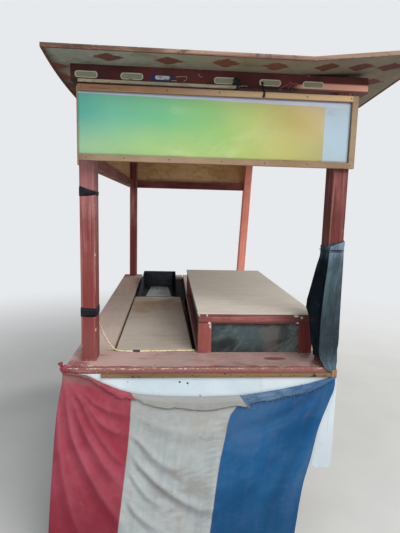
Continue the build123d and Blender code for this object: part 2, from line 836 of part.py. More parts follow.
# tarpaulin bundled round the right front post, thicker towards the case
wrap_front = right_post_front - soft_gap - tarp_thick
wrap_back = right_post_front + post_deep + soft_gap + tarp_thick
wrap_right = deck_right + soft_gap + tarp_thick
wrap_left = post_right_inner - soft_gap
fold_front = right_post_front + post_deep / 2
tip_back = deck_front - soft_gap
tip_front = tip_back - tarp_tip_thick
with BuildPart() as tarpaulin:
    with BuildSketch(Plane.XY.offset(deck_height + tarp_low)):
        with Locations(((wrap_left - tarp_thick + wrap_right) / 2, (wrap_front + wrap_back) / 2)):
            Rectangle(wrap_right - wrap_left + tarp_thick, wrap_back - wrap_front)
    extrude(amount=tarp_high - tarp_low)
    # the bundle that swells towards the case
    with BuildSketch(Plane.XZ.offset(-fold_front)):
        with BuildLine():
            Polyline(
                (wrap_left - tarp_thick, deck_height + tarp_low),
                (wrap_left - tarp_fold / 2, deck_height + tarp_low + tarp_fold),
                (wrap_left - tarp_fold, deck_height + tarp_fold_high),
                (wrap_left - tarp_thick, deck_height + tarp_waist),
                close=True,
            )
        make_face()
    extrude(amount=-(wrap_back - fold_front))
    with BuildSketch(Plane.XY.offset(deck_height + tarp_low)):
        with Locations((deck_right - post_wide / 2, right_post_front + post_deep / 2)):
            Rectangle(post_wide + 2 * soft_gap, post_deep + 2 * soft_gap)
    extrude(amount=tarp_high - tarp_low, mode=Mode.SUBTRACT)
    # its corner, which lies on the plank and hangs over the plank's edge in a point
    with BuildSketch(Plane.YZ.offset(post_right_inner)):
        with BuildLine():
            Polyline(
                (wrap_front, deck_height + tarp_low),
                (wrap_front, deck_height + tarp_low + tarp_fold),
                (tip_front, deck_height),
                (tip_front, deck_height - tarp_tip_drop),
                (tip_back, deck_height - tarp_tip_drop),
                (tip_back, deck_height + tarp_low),
                close=True,
            )
        make_face()
    extrude(amount=post_wide)
    with BuildSketch(Plane.XZ.offset(-tip_front)):
        with BuildLine():
            Polyline(
                (post_right_inner, deck_height + tarp_low),
                (post_right - tarp_tip_side, deck_height - tarp_tip_drop),
                (post_right_inner, deck_height - tarp_tip_drop),
                close=True,
            )
        make_face()
        with BuildLine(mode=Mode.PRIVATE) as right_cut:
            Polyline(
                (post_right, deck_height + tarp_low),
                (post_right, deck_height - tarp_tip_drop),
                (post_right - tarp_tip_side, deck_height - tarp_tip_drop),
                close=True,
            )
        make_face(right_cut.edges())
    extrude(amount=-(tip_back - tip_front), mode=Mode.SUBTRACT)
save(tarpaulin.part, "tarpaulin")

# lamp cord: held on the back of the left front post, then free over the deck into the gap by the case
cord_y = left_post_front + post_deep + cord_radius + soft_gap
cord_x = post_left_inner - cord_radius - 7
deck_z = deck_height + cord_radius
box_top = plank_under - box_high / 2
free_route = (
    (cord_x, cord_y, deck_height + tape_low),
    (cord_x, cord_y, deck_height + 162),
    (cord_x + 9, cord_y + 5, deck_height + 136),
    (cord_x + 20, cord_y + 14, deck_height + 93),
    (cord_x + 45, cord_y + 28, deck_height + 38),
    (cord_x + 72, cord_y + 33, deck_z + 2),
    (cord_x + 104, cord_y + 24, deck_z),
    (cord_x + 165, cord_y + 23, deck_z),
    (cord_x + 232, cord_y + 27, deck_z),
    (cord_x + 298, cord_y + 29, deck_z),
    (cord_x + 350, cord_y + 32, deck_z + 1),
    (case_left - 52, cord_y + 30, deck_z + 0.5),
    (case_left - 30, cord_y + 31, deck_z + 1),
    (case_left - 15, cord_y + 39, deck_z + 1),
    (case_left - 7, cord_y + 51, deck_height - 5),
    (case_left - 5.5, cord_y + 60, deck_height - 19),
    (case_left - 7, cord_y + box_setback, deck_height - 30),
    (case_left - 7, cord_y + box_setback, box_top),
)
points = [Vector(*point) for point in free_route]
runs = [after - before for before, after in zip(points, points[1:])]
turns = [before.get_angle(after) for before, after in zip(runs, runs[1:])]
radii = [
    0.45 * min(before.length, after.length) / math.tan(math.radians(turn) / 2)
    for before, after, turn in zip(runs, runs[1:], turns)
]
print("cord runs", [round(run.length, 1) for run in runs])
print("cord turns", [round(turn, 1) for turn in turns])
print("cord radii", [round(radius, 1) for radius in radii])
with BuildPart() as lamp_cord:
    with BuildLine() as cord_line:
        FilletPolyline(*free_route, radius=radii)
    with BuildSketch(Plane(points[0], z_dir=runs[0])):
        Circle(cord_radius)
    sweep(path=cord_line.wires()[0])
save(lamp_cord.part, "lamp_cord")
print("cord length", round(cord_line.wires()[0].length, 1), "volume share",
      round(lamp_cord.part.volume / (math.pi * cord_radius**2 * cord_line.wires()[0].length), 4))

with BuildPart() as held_cord:
    with BuildSketch(Plane.XY.offset(deck_height + tape_low)):
        with Locations((cord_x, cord_y)):
            Circle(cord_radius)
    extrude(amount=post_high - tape_low)
save(held_cord.part, "lamp_cord_held")

# bands of tape round the left front post and the cord behind it
band_mid = (post_left + post_wide / 2, left_post_front + post_deep / 2)
with BuildPart() as tape_bands:
    for low in (tape_low, tape_high):
        with BuildSketch(Plane.XY.offset(deck_height + low)):
            with Locations(band_mid):
                Rectangle(post_wide + 2 * tape_thick, post_deep + 2 * tape_thick)
            with Locations((cord_x, cord_y)):
                Circle(cord_radius + tape_thick)
            with Locations((cord_x, (band_mid[1] + cord_y) / 2)):
                Rectangle(2 * cord_radius, cord_y - band_mid[1], mode=Mode.SUBTRACT)
            with Locations(band_mid):
                Rectangle(post_wide, post_deep, mode=Mode.SUBTRACT)
            with Locations((cord_x, cord_y)):
                Circle(cord_radius, mode=Mode.SUBTRACT)
        extrude(amount=tape_wide)
save(tape_bands.part, "tape_bands")

# joint box under the deck, on the joist beside the gap that the cord goes down
timber(
    "cord_joint_box",
    (case_left - box_thick, case_left),
    (cord_y + box_setback - box_wide / 2, cord_y + box_setback + box_wide / 2),
    (box_top - box_high, box_top),
    1,
)
print("roof trim solids", len(roof_trim.part.solids()), "roof solids", len(roof.part.solids()))
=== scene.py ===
import bpy, bmesh, random
from math import cos, exp, hypot, pi, radians, sin
from mathutils import Matrix, Vector


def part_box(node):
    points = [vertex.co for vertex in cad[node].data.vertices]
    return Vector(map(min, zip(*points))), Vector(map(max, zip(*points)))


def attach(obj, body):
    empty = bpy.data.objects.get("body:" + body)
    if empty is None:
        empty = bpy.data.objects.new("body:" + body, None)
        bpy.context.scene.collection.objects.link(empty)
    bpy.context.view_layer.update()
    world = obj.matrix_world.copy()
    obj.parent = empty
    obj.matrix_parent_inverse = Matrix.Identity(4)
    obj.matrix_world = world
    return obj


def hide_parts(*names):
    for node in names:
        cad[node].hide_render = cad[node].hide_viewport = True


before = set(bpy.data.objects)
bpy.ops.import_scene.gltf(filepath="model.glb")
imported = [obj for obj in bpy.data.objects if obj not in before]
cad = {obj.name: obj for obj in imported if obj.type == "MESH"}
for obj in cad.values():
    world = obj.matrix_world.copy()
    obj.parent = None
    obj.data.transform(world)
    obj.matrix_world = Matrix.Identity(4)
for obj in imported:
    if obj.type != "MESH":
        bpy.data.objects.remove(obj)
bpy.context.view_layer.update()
print("frame loaded,", len(cad), "nodes")

# places that several pieces share, all from the frame
deckLow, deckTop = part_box("front_plank")
postLow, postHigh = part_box("post_front_left")
rightLow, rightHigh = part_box("post_front_right")
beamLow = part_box("beam_front")[0]
signLow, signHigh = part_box("sign_frame")
deckZ = deckTop.z
deckFront = deckLow.y
deckX = (deckLow.x + deckTop.x) / 2     # the photo was measured from the deck's front middle


def fromDeck(x, y, z):
    return Vector((deckX + x, deckFront + y, deckZ + z))


# camera
viewpoint = {
    "place": (-0.233, -2.799, 1.548),
    "yaw": 0.0745,
    "pitch": -0.1421,
    "roll": 0.026,
    "lens": 28.71,
}
turn, tilt, lean = viewpoint["yaw"], viewpoint["pitch"], viewpoint["roll"]
ahead = Vector((sin(turn) * cos(tilt), cos(turn) * cos(tilt), sin(tilt)))
level = Vector((cos(turn), -sin(turn), 0))
upright = level.cross(ahead)
across = level * cos(lean) + upright * sin(lean)
over = upright * cos(lean) - level * sin(lean)
camData = bpy.data.cameras.new("camera")
camData.lens = viewpoint["lens"]
camera = bpy.data.objects.new("camera", camData)
turned = Matrix((across, over, -ahead)).transposed()
camera.matrix_world = Matrix.Translation(viewpoint["place"]) @ turned.to_4x4()
bpy.context.scene.collection.objects.link(camera)
bpy.context.scene.camera = camera
print("camera placed")


# shader maths and the nodes that it adds
class Value:                            # a socket that can be used in sums
    def __init__(self, finish, socket):
        self.finish = finish
        self.socket = socket

    def sum(self, operation, first, second=0.0):
        return self.finish.node("ShaderNodeMath", {"operation": operation}, {0: first, 1: second})

    def __add__(self, other):
        return self.sum("ADD", self, other)

    def __radd__(self, other):
        return self.sum("ADD", other, self)

    def __sub__(self, other):
        return self.sum("SUBTRACT", self, other)

    def __rsub__(self, other):
        return self.sum("SUBTRACT", other, self)

    def __mul__(self, other):
        return self.sum("MULTIPLY", self, other)

    def __rmul__(self, other):
        return self.sum("MULTIPLY", other, self)

    def __truediv__(self, other):
        return self.sum("DIVIDE", self, other)

    def __rtruediv__(self, other):
        return self.sum("DIVIDE", other, self)

    def __abs__(self):
        return self.sum("ABSOLUTE", self)

    def __lt__(self, other):
        return self.sum("LESS_THAN", self, other)

    def __gt__(self, other):
        return self.sum("GREATER_THAN", self, other)

    def least(self, other):
        return self.sum("MINIMUM", self, other)

    def most(self, other):
        return self.sum("MAXIMUM", self, other)


class Finish:                           # one material and its nodes
    def __init__(self, name, coords="Object"):
        self.material = bpy.data.materials.new(name)
        self.material.use_nodes = True
        self.tree = self.material.node_tree
        self.shader = self.tree.nodes["Principled BSDF"]
        self.place = self.node("ShaderNodeTexCoord", output=coords)
        parts = self.node("ShaderNodeSeparateXYZ", {}, {0: self.place})
        made = parts.socket.node
        self.x, self.y, self.z = (Value(self, made.outputs[i]) for i in range(3))

    def node(self, kind, settings=None, inputs=None, output=0):
        made = self.tree.nodes.new(kind)
        for key, value in (settings or {}).items():
            if key == "stops":
                ramp = made.color_ramp
                while len(ramp.elements) < len(value):
                    ramp.elements.new(1)
                for stop, (position, color) in zip(ramp.elements, value):
                    stop.position = position
                    stop.color = (*color, 1)
            else:
                setattr(made, key, value)
        for key, value in (inputs or {}).items():
            socket = made.inputs[key]
            if isinstance(value, Value):
                self.tree.links.new(value.socket, socket)
            elif isinstance(value, tuple) and socket.type == "RGBA":
                socket.default_value = (*value, 1)
            else:
                socket.default_value = value
        return Value(self, made.outputs[output])

    def noise(self, scale, stretch=(1, 1, 1), detail=4.0, rough=0.55, warp=0.0, shift=(0, 0, 0), turned=None):
        place = self.place
        if turned:
            place = self.node("ShaderNodeMapping", {}, {"Vector": place, "Rotation": turned})
        spot = self.node("ShaderNodeMapping", {}, {"Vector": place, "Scale": stretch, "Location": shift})
        amounts = {"Vector": spot, "Scale": scale, "Detail": detail, "Roughness": rough, "Distortion": warp}
        return self.node("ShaderNodeTexNoise", {}, amounts)

    def rise(self, value, low, high):   # 0 below low, 1 above high, smooth between
        limits = {"Value": value, "From Min": low, "From Max": high}
        return self.node("ShaderNodeMapRange", {"interpolation_type": "SMOOTHSTEP"}, limits)

    def mix(self, first, second, share, blend="MIX"):
        settings = {"data_type": "RGBA", "blend_type": blend}
        return self.node("ShaderNodeMix", settings, {0: share, 6: first, 7: second}, 2)

    def edge(self, name):               # distance from a box-shaped node's nearest edge
        low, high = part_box(name)
        gaps = []
        for value, start, end in zip((self.x, self.y, self.z), low, high):
            gaps.append((end - start) / 2 - abs(value - (start + end) / 2))
        near, far = gaps[0].least(gaps[1]), gaps[0].most(gaps[1])
        return near.most(far.least(gaps[2]))

    def oval(self, first, second, center, size):   # below 1 inside an oval on two coordinates
        reach = (first - center[0]) / size[0]
        drop = (second - center[1]) / size[1]
        return reach * reach + drop * drop

    def diamond(self, first, second, center, size):
        return abs(first - center[0]) / size[0] + abs(second - center[1]) / size[1]

    def finish(self, color, roughness=0.7, bump=None, metallic=None, depth=0.001, strength=0.5, shine=0.25,
               **rest):
        values = {"Base Color": color, "Roughness": roughness, "Specular IOR Level": shine, **rest}
        if metallic is not None:
            values["Metallic"] = metallic
        if bump is not None:
            amounts = {"Strength": strength, "Distance": depth, "Height": bump}
            values["Normal"] = self.node("ShaderNodeBump", {}, amounts)
        for key, value in values.items():
            socket = self.shader.inputs[key]
            if isinstance(value, Value):
                self.tree.links.new(value.socket, socket)
            else:
                socket.default_value = (*value, 1) if isinstance(value, tuple) else value
        return self.material


def grainScale(along, across, length):  # noise stretch for grain that runs along an axis
    return tuple(length if axis == along else across for axis in "xyz")


def dress(name, material):              # a CAD node keeps its mesh and takes a material
    mesh = cad[name].data
    mesh.materials.clear()
    mesh.materials.append(material)


def onCart(piece):            # links a new piece, which rides on the cart
    bpy.context.scene.collection.objects.link(piece)
    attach(piece, "cart")
    return piece


def makePiece(shape, name, material, smooth=True):
    mesh = bpy.data.meshes.new(name)
    shape.to_mesh(mesh)
    shape.free()
    mesh.materials.append(material)
    for face in mesh.polygons:
        face.use_smooth = smooth
    return onCart(bpy.data.objects.new(name, mesh))


def makeCurve(name, points, radius, material, kind="NURBS", facets=2, steps=12, capped=False):
    curve = bpy.data.curves.new(name, "CURVE")
    curve.dimensions = "3D"
    curve.bevel_depth = radius
    curve.bevel_resolution = facets
    curve.resolution_u = steps
    curve.use_fill_caps = capped
    line = curve.splines.new(kind)
    line.points.add(len(points) - 1)
    for point, place in zip(line.points, points):
        point.co = (*place, 1)
    if kind == "NURBS":
        line.order_u = 3
        line.use_endpoint_u = True
    curve.materials.append(material)
    return onCart(bpy.data.objects.new(name, curve))


def sheetGrid(columns, rows, span=1.0):  # a flat grid to be bent; its UVs run to span across and to 1 up
    shape = bmesh.new()
    bmesh.ops.create_grid(shape, x_segments=columns, y_segments=rows, size=0.5)
    uvs = shape.loops.layers.uv.new("UVMap")
    for face in shape.faces:
        for loop in face.loops:
            loop[uvs].uv = (span * (loop.vert.co.x + 0.5), loop.vert.co.y + 0.5)
    return shape


def faceFront(shape):                    # a sheet's faces point to the front
    bmesh.ops.recalc_face_normals(shape, faces=shape.faces[:])
    if sum(face.normal.y for face in shape.faces) > 0:
        bmesh.ops.reverse_faces(shape, faces=shape.faces[:])


def thicken(piece, thick, offset=0):
    skin = piece.modifiers.new("thickness", "SOLIDIFY")
    skin.thickness = thick
    skin.offset = offset


def between(table, at):                 # straight line through a short table of (place, value)
    if at <= table[0][0]:
        return table[0][1]
    for (low, first), (high, second) in zip(table, table[1:]):
        if at <= high:
            return first + (second - first) * (at - low) / (high - low)
    return table[-1][1]


def through(table, at):                 # smooth line through the same kind of table
    at = max(table[0][0], min(table[-1][0], at))
    i = 0
    while i < len(table) - 2 and at > table[i + 1][0]:
        i += 1
    (x0, y0), (x1, y1) = table[i], table[i + 1]
    before, after = table[max(i - 1, 0)], table[min(i + 2, len(table) - 1)]
    wide = x1 - x0
    start = (y1 - before[1]) / (x1 - before[0]) * wide
    end = (after[1] - y0) / (after[0] - x0) * wide
    t = (at - x0) / wide
    keep = 2 * t ** 3 - 3 * t ** 2 + 1
    return keep * y0 + (1 - keep) * y1 + (t ** 3 - 2 * t ** 2 + t) * start + (t ** 3 - t ** 2) * end


# red painted timber: posts, beams, rails, rims and case
redLook = {
    "deep": (0.125, 0.026, 0.022),
    "paint": (0.235, 0.058, 0.050),
    "low": (0.20, 0.036, 0.031),
    "faded": (0.40, 0.185, 0.165),
    "wood": (0.36, 0.26, 0.185),
    "undercoat": (0.66, 0.62, 0.56),
    "filler": (0.66, 0.62, 0.58),
    "grime": (0.060, 0.035, 0.028),
    # painted sunlight: reds of the sunlit post at the back
    "sunlitOrange": ((0.74, 0.215, 0.155), (0.91, 0.300, 0.220), (0.92, 0.400, 0.300)),
    "pinkTop": (0.36, 0.155, 0.165),
    "darkFoot": (0.25, 0.090, 0.090),
    "fadesAt": (1.26, 1.52),             # heights between which each of these changes
    "pinkAt": (1.38, 1.64),
    "footAt": (0.98, 1.10),
}
caseLow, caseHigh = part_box("case_frame")
caseLook = {
    "postWide": 0.060,
    "sideWide": 0.030,
    "railHigh": 0.042,
    "front": 0.004,                      # this deep still counts as the case's front
    "rail": (0.21, 0.062, 0.056),
    # painted highlight along the rail's middle height, in pink streaks
    "band": (0.40, 0.180, 0.165),
    "highlightAt": 1.062,
    "lip": (0.085, 0.022, 0.018),
    "lipAt": (1.038, 1.047),
    "shaded": (0.065, 0.020, 0.018),
    "shadedAt": (0.22, 0.33),
    "leftPost": (0.33, 0.090, 0.078),
    # painted shade on the case's left side
    "shadedSide": (0.030, 0.012, 0.010),
    # painted shadow of the tarpaulin on the right post
    "shadedRightPost": (0.125, 0.017, 0.014),
}


def caseShades(f, color, grain, cloud, post):   # painted shade: dark on the side towards the stove, deeper red on the post by the tarpaulin; a painted highlight along the rail
    blot = f.rise(cloud * 0.6 + grain * 0.4, 0.40, 0.60)
    rail = (1 - post) * (f.y < caseLow.y + caseLook["front"])
    band = 1 - f.rise(abs(f.z - caseLook["highlightAt"] + (cloud - 0.5) * 0.02), 0.002, 0.014)
    streaks = f.rise(grain * 0.5 + cloud * 0.5, 0.46, 0.60)
    lip = 1 - f.rise(f.z + (grain - 0.5) * 0.01, *caseLook["lipAt"])
    shaded = f.rise(f.x + (cloud - 0.5) * 0.2, *caseLook["shadedAt"])
    shadedRightPost = (f.x > caseHigh.x - 0.062) * (f.z < caseHigh.z - 0.040)
    color = f.mix(color, caseLook["rail"], rail * (blot * 0.3 + 0.4))
    color = f.mix(color, caseLook["band"], rail * band * streaks * 0.60)
    color = f.mix(color, caseLook["lip"], rail * lip * 0.8)
    color = f.mix(color, caseLook["shaded"], rail * shaded * 0.65)
    color = f.mix(color, caseLook["leftPost"], post * (f.x < caseLow.x + caseLook["postWide"]) * 0.5)
    color = f.mix(color, caseLook["shadedSide"], (f.x < caseLow.x + 0.003) * 0.62)
    return f.mix(color, caseLook["shadedRightPost"], shadedRightPost * 0.65)


def redPaint(name, along, tone, fade, chip, seed, part, marks=()):
    f = Finish("red_paint_" + name)
    shift = (seed, seed * 1.7, seed * 0.6)
    axes = "xyz" if part == "case" else along
    grains = {axis: f.noise(1, grainScale(axis, 95, 3.5), 6, 0.6, 0.3, shift) for axis in axes}
    grain = grains[along]
    if part == "case":                   # its posts stand and its side rails run back
        out = abs(f.x - (caseLow.x + caseHigh.x) / 2) - (caseHigh.x - caseLow.x) / 2
        post = (out > -caseLook["postWide"]) * (f.z < caseHigh.z - caseLook["railHigh"])
        side = (out > -caseLook["sideWide"]) * (1 - post) * (f.y > caseLow.y + caseLook["front"])
        grain = grains["x"] * (1 - post) * (1 - side) + grains["y"] * side + grains["z"] * post
    brush = f.noise(1, grainScale(along, 420, 9), 3, 0.6, 0, shift)
    cloud = f.noise(3.2, detail=5, rough=0.6, shift=shift)
    edge = f.edge(name)
    flake = f.noise(70, grainScale(along, 1, 0.45), 5, 0.62, shift=shift)
    deep, paint, faded = (tuple(min(1, c * tone) for c in redLook[k]) for k in ("deep", "paint", "faded"))
    if part == "sunlitOrange":                 # painted sunlight on the brighter post at the back
        deep, paint, faded = redLook["sunlitOrange"]
    color = f.mix(deep, paint, f.rise(cloud * 0.55 + grain * 0.45, 0.36, 0.58))
    share = f.rise(grain * 0.5 + brush * 0.2 + cloud * 0.3, 0.47, 0.64) * fade
    if part in ("post", "sunny"):        # cleaner and redder towards the deck
        higher = f.rise(f.z + (cloud - 0.5) * 0.3, *redLook["fadesAt"])
        color = f.mix(tuple(c * tone for c in redLook["low"]), color, higher * 0.85 + 0.15)
        share = share * (0.12 + higher * 1.7)
    color = f.mix(color, faded, share)
    if part == "sunny":                  # pinker at its top, darker at its foot
        toTop = f.rise(f.z + (grain - 0.5) * 0.3, *redLook["pinkAt"])
        toFoot = 1 - f.rise(f.z + (grain - 0.5) * 0.2, *redLook["footAt"])
        color = f.mix(color, redLook["pinkTop"], toTop * 0.52)
        color = f.mix(color, redLook["darkFoot"], toFoot * 0.30)
    rubbed = f.rise(0.012 - edge, 0.0, 0.012) * f.rise(grain, 0.42, 0.6)
    color = f.mix(color, faded, rubbed * 0.7)
    bare = f.rise(flake * 0.6 + cloud * 0.22 - edge * 18 + chip * 0.16, 0.50, 0.53)
    color = f.mix(color, redLook["wood"], bare * 0.8)
    white = f.rise(flake, 0.61, 0.64) * bare
    color = f.mix(color, redLook["undercoat"], white * 0.7)
    lift = bare
    if part == "case":
        color = caseShades(f, color, grain, cloud, post)
    for center, size, gain in marks:     # crumbs of filler at named places
        away = (value - middle for value, middle in zip((f.x, f.y, f.z), center))
        dx, dy, dz = (gap / reach for gap, reach in zip(away, size))
        near = 1 - f.rise(dx * dx + dy * dy + dz * dz, 0.1, 1.6)
        crumb = f.noise(210, detail=4, rough=0.7, shift=shift)
        spot = f.rise(near * 0.39 + crumb * 0.85, 0.75, 0.79) * gain
        color = f.mix(color, redLook["filler"], spot)
        lift = lift - spot
    dirt = f.rise(f.noise(9, detail=6, rough=0.7, shift=shift), 0.56, 0.75) * 0.45
    color = f.mix(color, redLook["grime"], dirt)
    height = grain * 0.45 + brush * 0.25 - lift * 0.4
    return f.finish(color, 0.62 + lift * 0.25 + dirt * 0.1, height, strength=0.55)


fillerMarks = [                          # place, reach, strength
    ((caseLow.x + 0.003, caseLow.y, 1.073), (0.006, 0.02, 0.006), 1.0),
    ((-0.061, caseLow.y, 1.072), (0.006, 0.02, 0.008), 1.0),
    ((-0.049, caseLow.y, 1.036), (0.008, 0.02, 0.008), 1.0),
    ((-0.046, caseLow.y, 1.022), (0.006, 0.02, 0.013), 1.0),
    ((0.339, caseLow.y, 1.071), (0.016, 0.02, 0.007), 1.0),
    ((0.363, caseLow.y, 1.064), (0.010, 0.02, 0.008), 0.9),
    ((0.3450, caseLow.y, 1.033), (0.012, 0.02, 0.014), 1.1),
    ((caseHigh.x - 0.004, caseLow.y, 1.004), (0.006, 0.03, 0.014), 1.0),
]
redParts = {                             # node: grain axis, tone, fade, chip, seed, kind of part
    "post_front_left": ("z", 0.96, 0.60, 0.36, 0.0, "sunny"),
    "post_front_right": ("z", 0.68, 0.40, 0.36, 1.3, "post"),
    "post_back_left": ("z", 1.15, 0.50, 0.30, 2.1, "post"),
    "post_back_right": ("z", 2.60, 0.75, 0.36, 3.4, "sunlitOrange"),
    "beam_back": ("x", 0.75, 0.20, 0.35, 5.2, ""),
    "beam_left": ("y", 0.75, 0.20, 0.35, 6.7, ""),
    "beam_right": ("y", 0.85, 0.30, 0.40, 7.1, ""),
    "left_rail": ("y", 1.10, 0.40, 0.40, 8.9, ""),
    "back_rail": ("x", 1.00, 0.30, 0.40, 9.4, ""),
    "deck_rims": ("x", 0.95, 0.35, 0.60, 4.4, ""),
    "case_frame": ("x", 1.00, 0.45, 0.46, 2.9, "case"),
}
for name, (along, tone, fade, chip, seed, part) in redParts.items():
    dress(name, redPaint(name, along, tone, fade, chip, seed, part, fillerMarks if part == "case" else ()))
print("red timber painted")

# front beam: red with a row of pale lozenges, painted sunlight at its lower right
beamLook = {
    "lozenges": (-0.458, -0.293, -0.181, 0.051, 0.222, 0.388),
    "blue": 2,                           # which lozenge is the blue one
    "long": 0.0410,
    "high": 0.0120,
    "middle": beamLow.z + 0.023,
    "rim": (0.62, 0.60, 0.50),
    "green": (0.30, 0.32, 0.20),
    "blueRim": (0.022, 0.050, 0.150),
    "white": (0.62, 0.63, 0.62),
    # darker than the posts' red: painted shade under the roof
    "deep": (0.060, 0.016, 0.016),
    "paint": (0.14, 0.034, 0.032),
    # painted sunlight on the beam's lower right
    "faded": (0.86, 0.420, 0.330),
    "sunlitFrom": 0.335,
    # painted shade along the beam's lower edge
    "foot": (0.040, 0.016, 0.013),
    "dot": (0.30, 0.12, 0.11),
    "dotsAt": -0.060,
}
f = Finish("beam_front_paint")
grain = f.noise(1, grainScale("x", 100, 3), 6, 0.6, 0.3)
cloud = f.noise(4, detail=5, rough=0.6)
flake = f.noise(80, grainScale("x", 1, 0.5), 5, 0.62)
color = f.mix(beamLook["deep"], beamLook["paint"], f.rise(cloud, 0.38, 0.6))
# painted sunlight: pale salmon on the beam's lower right
slant = (f.x - deckX - beamLook["sunlitFrom"]) * 0.11 + (flake - 0.5) * 0.012
lower = 1 - f.rise(f.z - slant.least(0.007), beamLow.z + 0.019, beamLow.z + 0.026)
faded = f.rise(f.x, deckX + beamLook["sunlitFrom"] - 0.030, deckX + beamLook["sunlitFrom"] + 0.020) * lower
color = f.mix(color, beamLook["faded"], faded * f.rise(grain, 0.15, 0.42))
# painted shade along the beam's lower edge
color = f.mix(color, beamLook["foot"], (1 - f.rise(f.z, beamLow.z + 0.006, beamLow.z + 0.010)) * 0.85)
front = f.y < beamLow.y + 0.004
worn = 1 - f.rise(flake * 0.6 + cloud * 0.4, 0.54, 0.60) * 0.6


def lozenge(x, share, tallShare):        # a long shape with round ends, 1 inside it
    tall = beamLook["high"] * tallShare
    bend = tall * 0.85
    out = (abs(f.x - deckX - x) - (beamLook["long"] * share - bend)).most(0.0) / bend
    up = (abs(f.z - beamLook["middle"]) - (tall - bend)).most(0.0) / bend
    return (1 - f.rise(out * out + up * up + (flake - 0.5) * 0.5, 0.88, 1.10)) * front


for order, x in enumerate(beamLook["lozenges"]):
    blue = order == beamLook["blue"]
    color = f.mix(color, beamLook["blueRim" if blue else "rim"], lozenge(x, 1, 1) * worn)
    inner = lozenge(x, 0.66, 0.58) if blue else lozenge(x, 0.90, 0.72)
    color = f.mix(color, beamLook["white" if blue else "green"], inner * worn)
nearDots = 1 - f.rise(abs(f.x - deckX - beamLook["dotsAt"]), 0.035, 0.055)
dots = f.rise(f.noise(420, (1, 1, 1), 2), 0.60, 0.66) * nearDots * front
color = f.mix(color, beamLook["dot"], dots * 0.5)
bare = f.rise(flake * 0.6 + cloud * 0.2 - f.edge("beam_front") * 18, 0.43, 0.47)
color = f.mix(color, redLook["wood"], bare * 0.8)
dress("beam_front", f.finish(color, 0.66, grain * 0.5 - bare * 0.4 + flake * 0.1))
print("front beam painted")

# bare and weathered timber
woodLook = {
    "plank": {"light": (0.51, 0.405, 0.350), "dark": (0.405, 0.310, 0.262), "crack": (0.12, 0.085, 0.068),
              "stain": (0.34, 0.215, 0.165), "streak": 0.10},
    "hatch": {"light": (0.470, 0.405, 0.348), "dark": (0.345, 0.288, 0.238), "crack": (0.085, 0.062, 0.048),
              "stain": (0.325, 0.200, 0.118), "streak": 0.08},
    "caseTop": {"light": (0.555, 0.505, 0.445), "dark": (0.430, 0.378, 0.325), "crack": (0.20, 0.16, 0.125),
                "stain": (0.40, 0.315, 0.245), "streak": 0.12},
    "raw": {"light": (0.42, 0.290, 0.185), "dark": (0.235, 0.140, 0.078), "crack": (0.065, 0.038, 0.024),
            "stain": (0.17, 0.085, 0.040), "streak": 0.28},
    "batten": {"light": (0.235, 0.143, 0.076), "dark": (0.120, 0.067, 0.032), "crack": (0.03, 0.018, 0.011),
               "stain": (0.09, 0.045, 0.022), "streak": 0.28},
    "old": {"light": (0.21, 0.145, 0.10), "dark": (0.095, 0.062, 0.042), "crack": (0.03, 0.02, 0.015),
            "stain": (0.07, 0.045, 0.03), "streak": 0.28},
    # paler than the side panel's plywood: painted sunlight on the back panel
    "ply": {"light": (0.80, 0.500, 0.225), "dark": (0.56, 0.300, 0.120), "crack": (0.30, 0.16, 0.08),
            "stain": (0.40, 0.20, 0.08), "streak": 0.14},
    "sidePly": {"light": (0.64, 0.400, 0.210), "dark": (0.38, 0.215, 0.095), "crack": (0.12, 0.07, 0.04),
                "stain": (0.12, 0.055, 0.026), "streak": 0.24},
}
hatchSmudges = [                         # middle, reach, colour, share: in front of the tub
    ((-0.385, -0.110), (0.085, 0.160), (0.300, 0.185, 0.110), 0.60),
    ((-0.320, -0.030), (0.080, 0.075), (0.180, 0.130, 0.095), 0.45),
    ((-0.235, 0.060), (0.050, 0.090), (0.200, 0.145, 0.105), 0.30),
]
battenKnots = (0.022, 0.013, 0.008)
# painted sunlight on the back panel, and its right darker
panelSun = {
    "low": (0.90, 0.610, 0.370),
    "right": (0.36, 0.165, 0.065),
    "rightAt": (0.02, 0.34),
    "left": (0.98, 0.62, 0.36),
    "leftAt": (-0.50, -0.38),
}
stripSun = {
    "wide": 0.023,
    "darkerLeft": (0.25, 0.110, 0.048),
    "darkerLeftAt": (-0.40, 0.10),
    # painted sunlight on the top strip's right part
    "pale": (0.62, 0.430, 0.215),
    "paleAt": (-0.25, 0.35),
    "lower": (0.235, 0.165, 0.108),
    "leftEnd": (0.120, 0.080, 0.060),
    "leftEndAt": (-0.545, -0.500),
    "rightStrip": (0.250, 0.180, 0.112),
}


def panelFigureAndSunlight(f, color, name, dark, shift):   # figure, and painted sunlight: paler towards its lower edge and its left
    low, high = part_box(name)
    figure = f.noise(1, (7, 7, 10), 4, 0.6, 1.4, shift)
    color = f.mix(color, dark, f.rise(figure, 0.50, 0.60) * 0.6)
    toFoot = 1 - f.rise(f.z + (figure - 0.5) * 0.3, low.z + 0.06, high.z - 0.12)
    color = f.mix(color, panelSun["low"], toFoot * 0.6)
    color = f.mix(color, panelSun["right"], f.rise(f.x + (figure - 0.5) * 0.4, *panelSun["rightAt"]) * 0.55)
    toLeft = 1 - f.rise(f.x + (figure - 0.5) * 0.2, *panelSun["leftAt"])
    return f.mix(color, panelSun["left"], toLeft * 0.5)


